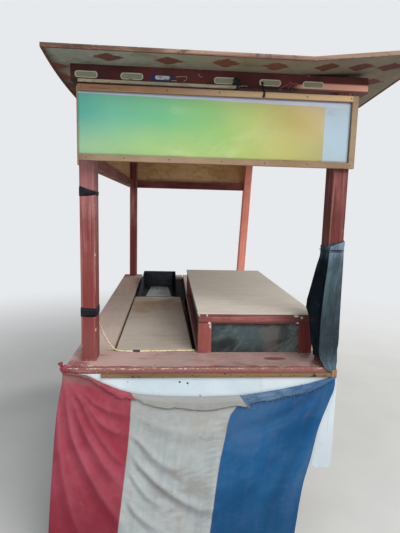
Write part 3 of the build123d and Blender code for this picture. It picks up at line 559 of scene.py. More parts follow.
def stripShades(f, color, cloud, stain, sun):   # painted sunlight: paler towards the right, darker towards the left
    top = f.rise(f.z, signHigh.z - 0.024, signHigh.z - 0.018)
    pale = f.rise(f.x, *stripSun["paleAt"])
    inner = f.x < signHigh.x - stripSun["wide"]
    leftEnd = 1 - f.rise(f.x + (cloud - 0.5) * 0.1, *stripSun["leftEndAt"])
    color = f.mix(color, stripSun["darkerLeft"], (1 - f.rise(f.x, *stripSun["darkerLeftAt"])) * top * 0.80)
    color = f.mix(color, stripSun["pale"], pale * top * sun)
    color = f.mix(color, stripSun["lower"], (1 - top) * inner * 0.70)
    color = f.mix(color, stripSun["leftEnd"], leftEnd * (1 - top) * 0.5)
    color = f.mix(color, stripSun["rightStrip"], (f.x > signHigh.x - stripSun["wide"]) * 0.85)
    return f.mix(color, stain, pale * (1 - top) * inner * 0.45)


def bareTimber(name, kind, along, seed, cracks, dust, across, far, sun):
    look = woodLook[kind]
    f = Finish(kind + "_" + name)
    shift = (seed, seed * 1.9, seed * 0.7)
    bands = f.noise(1, grainScale(along, across, 0.9), 3, 0.55, 1.1, shift)
    fibre = f.noise(1, grainScale(along, 360, 7), 4, 0.65, 0, shift)
    soft = f.noise(1, grainScale(along, across * 2.2, 1.8), 4, 0.6, 0.7, shift)
    cloud = f.noise(2.6, detail=6, rough=0.62, shift=shift)
    ring = abs(bands * 9 - f.node("ShaderNodeMath", {"operation": "ROUND"}, {0: bands * 9})) * 2
    tone = ring * look["streak"] + fibre * 0.24 + soft * 0.34 + cloud * 0.42 + (0.28 - look["streak"]) * 0.5
    color = f.mix(look["dark"], look["light"], f.rise(tone, 0.40, 0.74))
    split = f.noise(1, grainScale(along, 46, 0.8), 2, 0.5, 0.5, (seed * 2 + 3, seed + 1, seed))
    line = 1 - f.rise(abs(split - 0.5), 0.0, 0.0070)
    crack = line * f.rise(f.noise(3, grainScale(along, 2, 0.7), 2, shift=shift), 0.52, 0.62) * cracks
    dash = f.noise(1, grainScale(along, 150, 9), 3, 0.6, 0.2, (seed, 5, seed))
    dashes = f.rise(dash, 0.70, 0.74) * f.rise(f.noise(9, detail=3, shift=(seed, 1, 9)), 0.50, 0.60) * cracks
    crack = crack.most(dashes * 0.8)
    stain = f.rise(f.noise(6.5, detail=7, rough=0.68, shift=(seed + 5, 2, 1)), 0.53, 0.72)
    color = f.mix(color, look["dark"], stain * 0.5)
    if far:                              # browner towards its far end
        start, end, share = far
        brown = f.rise(f.y + (cloud - 0.5) * 0.5, start, end) * share
        color = f.mix(color, look["stain"], brown * f.rise(soft * 0.5 + cloud * 0.5, 0.34, 0.56))
    if kind == "hatch":
        for center, size, tint, share in hatchSmudges:
            spot = 1 - f.rise(f.oval(f.x, f.y, center, size) + (soft + cloud - 1) * 3.0, 0.1, 1.7)
            color = f.mix(color, tint, spot * share)
    if kind == "batten":
        knots = f.rise(f.noise(1, (34, 12, 50), 2, 0.5, 0, shift), 0.64, 0.68)
        color = f.mix(color, battenKnots, knots * 0.85)
    if kind == "ply":
        color = panelFigureAndSunlight(f, color, name, look["dark"], shift)
    if sun:
        color = stripShades(f, color, cloud, look["stain"], sun)
    color = f.mix(color, look["crack"], crack)
    dusty = f.rise(f.noise(11, detail=5, rough=0.7, shift=(seed, 7, 3)), 0.46, 0.66) * dust
    color = f.mix(color, tuple(min(1, c * 1.18) for c in look["light"]), dusty * 0.7)
    edge = f.rise(0.006 - f.edge(name), 0.0, 0.006)
    color = f.mix(color, look["dark"], edge * f.rise(fibre, 0.35, 0.6) * 0.6)
    height = fibre * 0.30 + soft * 0.10 - crack * 0.9
    return f.finish(color, 0.82 - dusty * 0.1, height, strength=0.55, depth=0.0012)


# node: kind, grain axis, seed, cracks, dust, across, browner far end, sun
timberParts = {
    "left_plank": ("plank", "y", 0.3, 0.5, 0.25, 26, (-0.45, 0.75, 0.85), 0),
    "right_plank": ("plank", "y", 4.1, 0.9, 0.25, 14, None, 0),
    "back_plank": ("plank", "x", 2.2, 0.9, 0.25, 26, None, 0),
    "hatch_board": ("hatch", "x", 1.7, 0.9, 0.30, 20, (-0.55, 0.05, 0.75), 0),
    "case_top": ("caseTop", "x", 3.3, 0.6, 0.35, 15, (-0.80, 0.10, 0.20), 0),
    "front_batten": ("batten", "x", 0.8, 1.0, 0.15, 60, None, 0),
    "sign_frame": ("raw", "x", 5.6, 0.9, 0.20, 60, None, 0.75),
    "deck_joists": ("old", "y", 1.1, 1.0, 0.10, 40, None, 0),
    "cross_bearers": ("old", "x", 2.8, 1.0, 0.10, 40, None, 0),
    "chassis_rails": ("old", "y", 6.3, 1.0, 0.10, 40, None, 0),
    "skirt_studs": ("old", "z", 7.7, 1.0, 0.10, 40, None, 0),
    "gap_lath": ("old", "y", 5.1, 1.0, 0.10, 40, None, 0),
    "rafter": ("old", "x", 8.2, 1.0, 0.10, 40, None, 0),
    "left_panel": ("sidePly", "y", 3.9, 0.3, 0.10, 9, None, 0),
    "back_panel": ("ply", "x", 9.5, 0.3, 0.18, 9, None, 0),
}
for name, settings in timberParts.items():
    dress(name, bareTimber(name, *settings))
print("bare timber grained")

# front plank: worn red on top, redder and chipped on its front edge
plankLook = {
    "light": (0.455, 0.350, 0.315),
    "dark": (0.275, 0.205, 0.180),
    "pink": (0.48, 0.275, 0.255),
    "red": (0.205, 0.052, 0.046),
    "chip": (0.62, 0.54, 0.50),
    "leftEnd": (0.50, 0.375, 0.345),
    "rightEnd": (0.200, 0.132, 0.122),
    "blush": (0.40, 0.155, 0.165),
    "blushAt": ((deckX + 0.06, deckFront + 0.10), (0.11, 0.07)),
    "face": (0.265, 0.105, 0.090),
    "foot": (0.10, 0.022, 0.020),
    "knotRed": (0.24, 0.040, 0.045),
    "knotAt": ((deckX - 0.515, deckFront + 0.030), (0.055, 0.075)),
    "blot": (0.16, 0.030, 0.030),
    "blotAt": ((deckX + 0.318, deckFront + 0.106), (0.052, 0.020)),
    "darkPatch": (0.15, 0.105, 0.095),
    "shaded": (0.17, 0.105, 0.098),
}
f = Finish("front_plank_paint")
grain = f.noise(1, grainScale("x", 80, 2.2), 5, 0.62, 0.4)
fibre = f.noise(1, grainScale("x", 380, 8), 4, 0.65)
cloud = f.noise(3.4, detail=7, rough=0.66)
small = f.noise(34, (0.5, 1, 1), 6, 0.68)
crumb = f.noise(240, (0.6, 1, 1), 4, 0.7)
figure = f.rise(grain * 0.45 + fibre * 0.3 + cloud * 0.25, 0.38, 0.62)
color = f.mix(plankLook["dark"], plankLook["light"], figure)
left = 1 - f.rise(f.x, deckX - 0.35, deckX + 0.30)
worn = f.rise(cloud * 0.55 + grain * 0.3 + small * 0.25 + left * 0.03, 0.49, 0.66)
color = f.mix(color, plankLook["pink"], worn * 0.75)
color = f.mix(color, plankLook["leftEnd"], left * 0.40)
color = f.mix(color, plankLook["rightEnd"], (1 - left) * f.rise(grain * 0.6 + small * 0.4, 0.40, 0.60) * 0.65)
blush = 1 - f.rise(f.oval(f.x, f.y, *plankLook["blushAt"]), 0.3, 1.4)
color = f.mix(color, plankLook["blush"], blush * f.rise(small * 0.6 + grain * 0.4, 0.48, 0.58) * 0.6)
toFront = 1 - f.rise(f.y, deckFront + 0.008, deckFront + 0.050)
color = f.mix(color, plankLook["red"], f.rise(toFront * 0.34 + small * 0.6 + cloud * 0.2, 0.62, 0.74) * 0.85)
faceMask = f.y < deckFront + 0.003
color = f.mix(color, plankLook["face"], faceMask * f.rise(small + grain * 0.4, 0.46, 0.60) * 0.85)
footBand = (1 - f.rise(f.z, deckLow.z + 0.002, deckLow.z + 0.010)) * faceMask
color = f.mix(color, plankLook["foot"], footBand * 0.6)
lip = 1 - f.rise(abs(f.z - (deckZ - 0.003)) + abs(f.y - (deckFront + 0.001)), 0.002, 0.009)
chips = f.rise(crumb * 0.66 + small * 0.34 + lip * 0.06 + left * 0.02, 0.590, 0.615) * lip * 0.8
onFace = (1 - f.rise(f.z, deckZ - 0.015, deckZ - 0.005)) * faceMask
chips = chips.most(f.rise(crumb, 0.655, 0.675) * onFace * 0.8)
chips = chips.most(f.rise(crumb, 0.665, 0.685) * (1 - f.rise(f.y, deckFront + 0.01, deckFront + 0.06)) * 0.8)
corner = 1 - f.rise(f.oval(f.x, f.y, *plankLook["knotAt"]), 0.35, 1.3)       # flaked under the cloth's knot
color = f.mix(color, plankLook["knotRed"], corner * f.rise(small * 0.5 + cloud * 0.5, 0.44, 0.56) * 0.75)
chips = chips.most(corner * f.rise(crumb * 0.5 + small * 0.5, 0.575, 0.605) * 0.8)
color = f.mix(color, plankLook["chip"], chips)
blot = f.oval(f.x, f.y, *plankLook["blotAt"]) + (small - 0.5) * 1.6
color = f.mix(color, plankLook["blot"], (1 - f.rise(blot, 0.55, 1.15)) * 0.85)
dark = f.rise(f.noise(8, (0.6, 1.4, 1), 6, 0.7, shift=(4, 0, 0)), 0.53, 0.70)
color = f.mix(color, plankLook["darkPatch"], dark * 0.6)
shaded = f.rise(f.x + (cloud - 0.5) * 0.4, 0.14, 0.42) * (1 - faceMask)
color = f.mix(color, plankLook["shaded"], shaded * 0.30)
height = grain * 0.3 + fibre * 0.3 + worn * 0.15 - chips * 0.2
dress("front_plank", f.finish(color, 0.78, height, strength=0.6))
print("front plank painted")


# white skirt boards
boardLook = {
    "cool": (0.53, 0.62, 0.67),
    "white": (0.65, 0.73, 0.78),
    "low": (0.53, 0.605, 0.650),
    "streak": (0.42, 0.43, 0.41),
    "mud": (0.30, 0.26, 0.21),
    "speck": (0.24, 0.21, 0.18),
    "hole": (0.02, 0.018, 0.018),
    "holeSize": (0.0048, 0.0042),
}


def whiteBoard(name, seed, holes=()):
    f = Finish("white_board_" + name)
    shift = (seed, seed, seed * 2)
    cloud = f.noise(2.4, detail=6, rough=0.6, shift=shift)
    drip = f.noise(1, (38, 38, 1.6), 5, 0.6, 0.2, shift)
    fine = f.noise(90, detail=4, shift=shift)
    color = f.mix(boardLook["cool"], boardLook["white"], f.rise(cloud, 0.36, 0.62))
    color = f.mix(boardLook["low"], color, f.rise(f.z, 0.50, 0.80) * 0.7 + 0.3)
    streak = f.rise(drip * 0.7 + cloud * 0.3, 0.54, 0.70)
    color = f.mix(color, boardLook["streak"], streak * 0.35)
    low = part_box(name)[0]
    toFoot = 1 - f.rise(f.z, low.z, low.z + 0.14)
    mud = f.rise(f.y, -1.15, -0.85) * 0.5 + 0.12
    color = f.mix(color, boardLook["mud"], toFoot * f.rise(drip * 0.6 + fine * 0.4, 0.44, 0.64) * mud)
    speck = f.rise(f.noise(46, detail=3, shift=shift), 0.70, 0.73)
    color = f.mix(color, boardLook["speck"], speck * 0.7)
    for x, z in holes:
        hole = f.oval(f.x, f.z, (deckX + x, deckZ + z), boardLook["holeSize"])
        color = f.mix(boardLook["hole"], color, f.rise(hole, 0.7, 1.1))
    return f.finish(color, 0.5 + streak * 0.2, cloud * 0.4 + fine * 0.1 + drip * 0.1, strength=0.3)


dress("front_skirt", whiteBoard("front_skirt", 0.0, ((-0.096, -0.059), (-0.064, -0.064))))
dress("back_skirt", whiteBoard("back_skirt", 3.0))
dress("side_skirts", whiteBoard("side_skirts", 6.0))

# roof: grey weathered top, grey-green soffit with diamonds
roofLook = {
    "frontRow": (-0.454, -0.246, -0.043, 0.138, 0.326, 0.459, 0.576),
    "rowY": (-1.228, -1.221, -1.229, -1.221, -1.218, -1.198, -1.183),
    "size": (0.056, 0.046),
    "sides": ((-0.664, -1.100, 0.130), (0.575, -1.023, 0.205)),     # x, first y, step
    "green": ((0.255, 0.275, 0.225), (0.215, 0.185, 0.135)),        # towards the left and the right
    "olive": ((0.365, 0.38, 0.31), (0.300, 0.245, 0.175)),
    "water": (0.17, 0.115, 0.070),
    "leftEdge": (0.085, 0.045, 0.035),
    "leftEdgeAt": (-0.665, -0.625),
    "red": ((0.105, 0.028, 0.024), (0.205, 0.062, 0.046)),
    "top": ((0.25, 0.215, 0.18), (0.44, 0.395, 0.34)),
    "topStain": (0.16, 0.13, 0.11),
    "ends": ((0.16, 0.10, 0.07), (0.42, 0.30, 0.20)),
}
f = Finish("roof_board_paint")
side = f.node("ShaderNodeTexCoord", output="Normal")
facing = f.node("ShaderNodeSeparateXYZ", {}, {0: side}, 2)
under = facing < -0.3
cloud = f.noise(2.2, detail=6, rough=0.64)
small = f.noise(40, detail=5, rough=0.66)
fibre = f.noise(1, (5, 240, 240), 4, 0.6)
shade = f.rise(cloud * 0.7 + small * 0.3, 0.38, 0.62)
toRight = f.rise(f.x + (cloud - 0.5) * 0.5, -0.45, 0.15)
soffit = f.mix(f.mix(*roofLook["green"], toRight), f.mix(*roofLook["olive"], toRight), shade)
water = f.rise(f.noise(5, detail=7, rough=0.7, shift=(3, 1, 0)), 0.48, 0.66)
soffit = f.mix(soffit, roofLook["water"], water * 0.7)
drag = f.noise(1, (9, 55, 9), 5, 0.66, 0.5)
wobble = (small - 0.5) * 0.5 + (drag - 0.5) * 1.1
leftEdge = 1 - f.rise(f.x + (small - 0.5) * 0.03, *roofLook["leftEdgeAt"])
soffit = f.mix(soffit, roofLook["leftEdge"], leftEdge * 0.8)
pattern = None
for center in zip(roofLook["frontRow"], roofLook["rowY"]):
    diamond = f.diamond(f.x, f.y, center, roofLook["size"])
    pattern = pattern.least(diamond) if pattern else diamond
for x, firstY, step in roofLook["sides"]:
    count = (f.y - firstY) / step + 0.5
    whole = f.node("ShaderNodeMath", {"operation": "FLOOR"}, {0: count})
    alongSide = abs(count - whole - 0.5) * step / roofLook["size"][1]
    pattern = pattern.least(abs(f.x - x) / roofLook["size"][0] + alongSide + (f.y < firstY - step * 0.5) * 9)
inside = 1 - f.rise(pattern + wobble, 0.90, 1.02)
soffit = f.mix(soffit, f.mix(*roofLook["red"], shade), inside * 0.94)
board = f.mix(*roofLook["top"], f.rise(cloud * 0.5 + fibre * 0.5, 0.38, 0.62))
board = f.mix(board, roofLook["topStain"], f.rise(f.noise(4, detail=7, rough=0.7), 0.54, 0.72) * 0.6)
ends = f.mix(*roofLook["ends"], f.rise(f.noise(1, (6, 6, 900), 3), 0.4, 0.6))
color = f.mix(board, soffit, under)
color = f.mix(color, ends, abs(facing) < 0.3)
dress("roof_board", f.finish(color, 0.80, small * 0.3 + fibre * 0.3 - inside * 0.1, strength=0.45))

trimLook = {
    "old": ((0.165, 0.095, 0.068), (0.360, 0.245, 0.172)),
    "leftEnd": (0.075, 0.040, 0.028),
    "topEdge": (0.52, 0.38, 0.25),
    "footEdge": (0.155, 0.052, 0.040),
    "splinter": (0.56, 0.43, 0.31),
    "grime": (0.060, 0.030, 0.024),
    "oldRed": (0.11, 0.05, 0.05),        # left towards the curl
    "oldRedAt": (-0.25, 0.15),
    "curlFrom": 0.25,
    "curlWide": 0.44,
    "curlRise": 0.050,
}
f = Finish("roof_trim_paint")
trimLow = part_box("roof_trim")[0]
grain = f.noise(1, (4, 4, 300), 5, 0.6)
cloud = f.noise(7, (1, 1, 3), 6, 0.65)
splinter = f.noise(1, (26, 26, 240), 5, 0.66)
curl = (f.x - trimLook["curlFrom"]).most(0.0) / trimLook["curlWide"]
up = f.z - trimLow.z - curl * curl * trimLook["curlRise"]     # height above the trim's own lower edge
color = f.mix(*trimLook["old"], f.rise(cloud * 0.6 + grain * 0.4, 0.38, 0.6))
fromLeft = f.rise(f.x + (cloud - 0.5) * 0.5, -0.48, -0.10) * 0.85 + 0.15
color = f.mix(trimLook["leftEnd"], color, fromLeft)
topEdge = f.rise(up, 0.009, 0.013) * f.rise(f.x + (cloud - 0.5), -0.3, 0.1)
color = f.mix(color, trimLook["topEdge"], topEdge * 0.6)
color = f.mix(color, trimLook["footEdge"], (1 - f.rise(up, 0.002, 0.006)) * 0.75)
color = f.mix(color, trimLook["splinter"], f.rise(splinter, 0.60, 0.68) * 0.7)
color = f.mix(color, trimLook["grime"], f.rise(f.noise(30, detail=5, shift=(5, 0, 0)), 0.56, 0.66) * 0.7)
color = f.mix(color, trimLook["oldRed"], f.rise(f.x, *trimLook["oldRedAt"]) * 0.5)
dress("roof_trim", f.finish(color, 0.8, grain * 0.5 + splinter * 0.5))

mouldingLook = {"paint": ((0.33, 0.30, 0.21), (0.52, 0.46, 0.33)), "bare": (0.19, 0.10, 0.07)}
f = Finish("moulding_paint")
cloud = f.noise(14, (0.4, 1, 1), 6, 0.66)
fine = f.noise(110, (0.4, 1, 1), 5, 0.66)
color = f.mix(*mouldingLook["paint"], f.rise(cloud, 0.38, 0.6))
color = f.mix(color, mouldingLook["bare"], f.rise(fine * 0.6 + cloud * 0.4, 0.54, 0.62) * 0.85)
dress("beam_moulding", f.finish(color, 0.72, fine * 0.4 + cloud * 0.3))
print("skirts, roof and moulding done")

# metal, rubber, glass and plastic
shadowBlack = (0.003, 0.003, 0.003)


def steel(name, base, rust, share, metal=0.9, scale=18, rough=0.42, shadowFrom=None, shine=0.25):
    f = Finish(name)
    cloud = f.noise(scale, detail=7, rough=0.68)
    fine = f.noise(scale * 9, detail=4, rough=0.6)
    spots = f.rise(cloud * 0.7 + fine * 0.3, 0.62 - share * 0.3, 0.70 - share * 0.3)
    dark = tuple(c * 0.55 for c in base)
    color = f.mix(f.mix(dark, base, f.rise(fine, 0.35, 0.6)), rust, spots)
    if shadowFrom:                             # painted shadow: black to the right of this place
        black = f.rise(f.x + (cloud - 0.5) * 0.03, shadowFrom, shadowFrom + 0.012)
        color = f.mix(color, shadowBlack, black * 0.9)
    return f.finish(color, rough + spots * 0.4 + fine * 0.1, fine * 0.3 + spots * 0.5, metal - spots * metal,
                    depth=0.0006, shine=shine)


handleLook = steel("pipe_steel", (0.44, 0.43, 0.41), (0.19, 0.085, 0.045), 0.42)
pullLook = steel("pull_steel", (0.50, 0.50, 0.49), (0.20, 0.10, 0.06), 0.2, scale=60)
axleLook = steel("axle_steel", (0.085, 0.080, 0.078), (0.16, 0.075, 0.042), 0.45, 0.6, 22, 0.55)
tubLook = steel("tub_soot_and_shadow", (0.056, 0.061, 0.077), (0.110, 0.090, 0.075), 0.22, 0.1, 9, 0.7, -0.205, 0.06)
plateLook = steel("plate_steel", (0.57, 0.615, 0.595), (0.30, 0.285, 0.255), 0.22, 0.2, 7, 0.5)
for name, look in {
    "push_handle": handleLook,
    "door_pull": pullLook,
    "axles": axleLook,
    "axle_hangers": axleLook,
    "stove_tub": tubLook,
    "stove_plate": plateLook,
}.items():
    dress(name, look)

wheelPaint = {
    "paint": ((0.115, 0.022, 0.016), (0.23, 0.050, 0.036)),
    "rust": (0.115, 0.052, 0.030),
    "dust": (0.30, 0.25, 0.20),
}
f = Finish("wheel_oxide")
cloud = f.noise(9, detail=6, rough=0.66)
fine = f.noise(85, detail=5, rough=0.66)
color = f.mix(*wheelPaint["paint"], f.rise(cloud, 0.38, 0.6))
rust = f.rise(fine * 0.55 + cloud * 0.45, 0.52, 0.60)
color = f.mix(color, wheelPaint["rust"], rust)
color = f.mix(color, wheelPaint["dust"], f.rise(f.noise(20, detail=5, shift=(2, 2, 2)), 0.56, 0.72) * 0.5)
wheelLook = f.finish(color, 0.6 + rust * 0.25, fine * 0.4 + rust * 0.3, depth=0.0008)

tyreRubber = {"rubber": ((0.022, 0.021, 0.021), (0.050, 0.047, 0.044)), "dust": (0.20, 0.175, 0.145)}
f = Finish("tyre_rubber")
cloud = f.noise(12, detail=6, rough=0.66)
fine = f.noise(150, detail=4)
color = f.mix(*tyreRubber["rubber"], f.rise(fine, 0.35, 0.62))
color = f.mix(color, tyreRubber["dust"], f.rise(cloud, 0.44, 0.66) * 0.6)
tyreLook = f.finish(color, 0.82, fine * 0.5 + cloud * 0.4, depth=0.0012)
for end in ("front", "rear"):
    for hand in ("left", "right"):
        dress("wheel_" + end + "_" + hand, wheelLook)
        dress("tyre_" + end + "_" + hand, tyreLook)

pane = {
    # dark tint for the case's inside: painted shade
    "clear": (0.026, 0.038, 0.041),
    "dusty": (0.120, 0.178, 0.180),
    "brown": (0.115, 0.105, 0.085),
    "brownAt": (-0.02, 0.36),
    "inner": (0.022, 0.012, 0.010),
    "alpha": 0.62,
    "shapes": [                          # soft shapes in the dusty front pane: middle, reach, colour, share
        ((0.130, 0.975), (0.090, 0.045), (0.105, 0.165, 0.175), 0.40),
        ((0.232, 0.995), (0.040, 0.080), (0.200, 0.155, 0.140), 0.40),
        ((0.296, 0.990), (0.026, 0.080), (0.018, 0.026, 0.028), 0.75),
        ((0.040, 0.932), (0.055, 0.030), (0.018, 0.026, 0.026), 0.70),
        ((0.190, 1.040), (0.260, 0.018), (0.020, 0.024, 0.025), 0.70),
    ],
}
f = Finish("case_glass_dusty_shaded")
smear = f.noise(1, (4, 4, 15), 6, 0.64, 0.9, (2, 0, 1), (0, radians(34), 0))
wipe = f.noise(1, (30, 30, 5), 4, 0.6, 0.5, (0, 3, 2), (0, radians(-28), 0))
fine = f.noise(60, detail=4, rough=0.6)
toLeft = 1 - f.rise(f.x, -0.06, 0.14)
film = f.rise(smear * 0.6 + wipe * 0.25 + fine * 0.15 - toLeft * 0.03, 0.38, 0.68)
browner = f.rise(f.x, *pane["brownAt"]) * 0.6
color = f.mix(f.mix(pane["clear"], pane["dusty"], film), pane["brown"], browner * film)
for center, size, tint, share in pane["shapes"]:
    spot = 1 - f.rise(f.oval(f.x, f.z, center, size) + (smear + wipe - 1) * 4.5, 0.0, 2.0)
    color = f.mix(color, tint, spot * share)
# painted shade inside the case's left side
color = f.mix(color, pane["inner"], (f.y > caseLow.y + 0.03) * (f.x < caseLow.x + 0.05) * 0.7)
glassLook = f.finish(
    color,
    0.08 + film * 0.30,
    fine,
    strength=0.03,
    shine=0.5,
    Alpha=pane["alpha"] + film * 0.22,
    IOR=1.45,
)
dress("case_glass", glassLook)
dress("case_door", glassLook)

boxPlastic = {"plastic": (0.018, 0.018, 0.019), "dust": (0.12, 0.105, 0.09)}
f = Finish("joint_box_plastic")
fine = f.noise(260, detail=3)
dust = f.rise(f.noise(30, detail=5), 0.5, 0.7)
color = f.mix(boxPlastic["plastic"], boxPlastic["dust"], dust * 0.5)
dress("cord_joint_box", f.finish(color, 0.5 + dust * 0.3, fine, strength=0.15))
print("metal, rubber, glass and plastic done")

# sign banner: blank printed vinyl, tacked over the strips
banner = {
    "left": -0.487,
    "right": 0.536,
    "top": 1.0545,
    "foot": 0.824,
    "blueFrom": 0.436,
    "pale": (0.012, 0.026),              # height of the pale strip along its top, left and right
    "columns": 96,
    "rows": 24,
    "thick": 0.0010,
    "upper": [
    (0.00, (0.072, 0.310, 0.260)),
    (0.12, (0.130, 0.400, 0.275)),
    (0.32, (0.150, 0.425, 0.215)),
    (0.50, (0.225, 0.435, 0.145)),
    (0.66, (0.365, 0.405, 0.118)),
    (0.80, (0.400, 0.320, 0.108)),
    (0.92, (0.420, 0.340, 0.180)),
    ],
    "lower": [
    (0.00, (0.250, 0.430, 0.250)),
    (0.25, (0.300, 0.470, 0.180)),
    (0.50, (0.340, 0.470, 0.140)),
    (0.75, (0.410, 0.390, 0.140)),
    (0.95, (0.300, 0.280, 0.130)),
    ],
    "haze": (0.50, 0.60, 0.36),
    "blueEnd": (0.33, 0.425, 0.50),
    "paleStrip": (0.40, 0.43, 0.54),
    "grime": (0.28, 0.265, 0.215),
    "back": ((0.52, 0.53, 0.53), (0.36, 0.35, 0.32)),
}
wide = banner["right"] - banner["left"]
high = banner["top"] - banner["foot"]
f = Finish("banner_print", "UV")
swirl = f.noise(1, (5.0, 1.6, 1), 3, 0.5, 1.6)
soft = f.noise(1, (3.0, 1.0, 1), 2, 0.5, 0.6, (4, 0, 0))
shade = f.x + (swirl - 0.5) * 0.08 + (f.y - 0.5) * 0.06
upper = f.node("ShaderNodeValToRGB", {"stops": banner["upper"]}, {0: shade})
lower = f.node("ShaderNodeValToRGB", {"stops": banner["lower"]}, {0: shade})
color = f.mix(lower, upper, f.rise(f.y + (soft - 0.5) * 0.5, 0.10, 0.70))
color = f.mix(color, banner["haze"], f.rise(swirl * 0.6 + soft * 0.4, 0.52, 0.70) * 0.28)
color = f.mix(color, banner["blueEnd"], f.x > (banner["blueFrom"] - banner["left"]) / wide)
thin, thick = banner["pale"]
color = f.mix(color, banner["paleStrip"], f.y > 1 - (f.x * ((thick - thin) / high) + thin / high))
grime = f.rise(f.noise(1, (9, 3, 1), 6, 0.68, shift=(1, 5, 0)), 0.50, 0.74)
color = f.mix(color, banner["grime"], grime * 0.22)
facing = f.node("ShaderNodeTexCoord", output="Normal")
behind = f.node("ShaderNodeSeparateXYZ", {}, {0: facing}, 1) > 0.3
color = f.mix(color, f.mix(*banner["back"], grime), behind)
fine = f.noise(1, (700, 160, 1), 2)
bannerLook = f.finish(color, 0.34 + grime * 0.25, fine, strength=0.08, depth=0.0003)

shape = sheetGrid(banner["columns"], banner["rows"])
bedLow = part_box("sign_banner")[0]
for vert in shape.verts:
    u, v = vert.co.x + 0.5, vert.co.y + 0.5
    tack = min(1, 6 * min(u, 1 - u)) * min(1, 3 * min(v, 1 - v))
    wave = 0.0012 * sin(23 * u + 1.5 * v) + 0.0008 * sin(41 * u - 2.4 * v + 1) + 0.0010 * sin(9 * u + 7 * v)
    pull = 0.0004 * cos(2 * pi * u * 9) * (1 - v if v < 0.5 else v)
    depth = bedLow.y + 0.0004 - tack * (0.0022 + wave + pull)
    x = deckX + banner["left"] + wide * u
    z = deckZ + banner["foot"] + high * v + 0.0012 * sin(2 * pi * u * 5) * (v - 0.5)
    vert.co = (max(x, signLow.x + 0.0002), depth, z)
faceFront(shape)
bannerSheet = makePiece(shape, "banner_sheet", bannerLook)
thicken(bannerSheet, banner["thick"], -1)
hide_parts("sign_banner")
print("banner stretched")

# striped cloth hung by its two upper corners, top edge folded over
# x and z from the deck's front middle and top, in metres, as seen on the cloth
cloth = {
    "columns": 190,
    "rows": 126,
    "flapRows": 14,
    "topEdge": [(-0.557, -0.013), (-0.466, -0.026), (-0.400, -0.060), (-0.335, -0.088), (-0.271, -0.106),
                (-0.150, -0.117), (0.000, -0.120), (0.162, -0.114), (0.311, -0.091), (0.430, -0.066),
                (0.545, -0.033)],
    "flapEdge": [(-0.557, -0.015), (-0.466, -0.031), (-0.431, -0.056), (-0.361, -0.098), (-0.341, -0.118),
                 (-0.300, -0.122), (-0.262, -0.124), (-0.234, -0.143), (-0.186, -0.158), (-0.149, -0.164),
                 (-0.093, -0.164), (-0.032, -0.172), (0.009, -0.176), (0.050, -0.170), (0.103, -0.161),
                 (0.144, -0.156), (0.184, -0.160), (0.201, -0.146), (0.242, -0.139), (0.300, -0.129),
                 (0.325, -0.121), (0.399, -0.106), (0.449, -0.092), (0.502, -0.064), (0.545, -0.036)],
    "left": [(-0.80, -0.634), (-0.701, -0.627), (-0.394, -0.604), (-0.248, -0.590), (-0.013, -0.557)],
    "seamA": [(-0.80, -0.350), (-0.711, -0.343), (-0.461, -0.316), (-0.252, -0.296), (-0.100, -0.290)],
    "seamB": [(-0.80, 0.040), (-0.724, 0.046), (-0.418, 0.076), (-0.284, 0.098), (-0.241, 0.103),
              (-0.204, 0.112), (-0.179, 0.122), (-0.150, 0.138), (-0.100, 0.152)],
    "right": [(-0.80, 0.408), (-0.737, 0.414), (-0.523, 0.435), (-0.393, 0.460), (-0.248, 0.487),
              (-0.088, 0.540), (-0.033, 0.545)],
    "flapShift": [(0.0, 0.0), (0.3333, 0.021), (0.6667, 0.036), (1.0, 0.0)],
    "hem": -0.785,
    "stand": -0.0095,
    "crest": 0.0140,
    "trough": 0.0070,
    "thick": 0.0011,
    "flapStand": -0.0075,
    "whiteEdge": (-0.27, 0.19),          # between these the folded edge is white and frays less
    "topStand": 0.0022,
    "farthest": -0.0235,
}
whiteFrom, whiteTo = cloth["whiteEdge"]
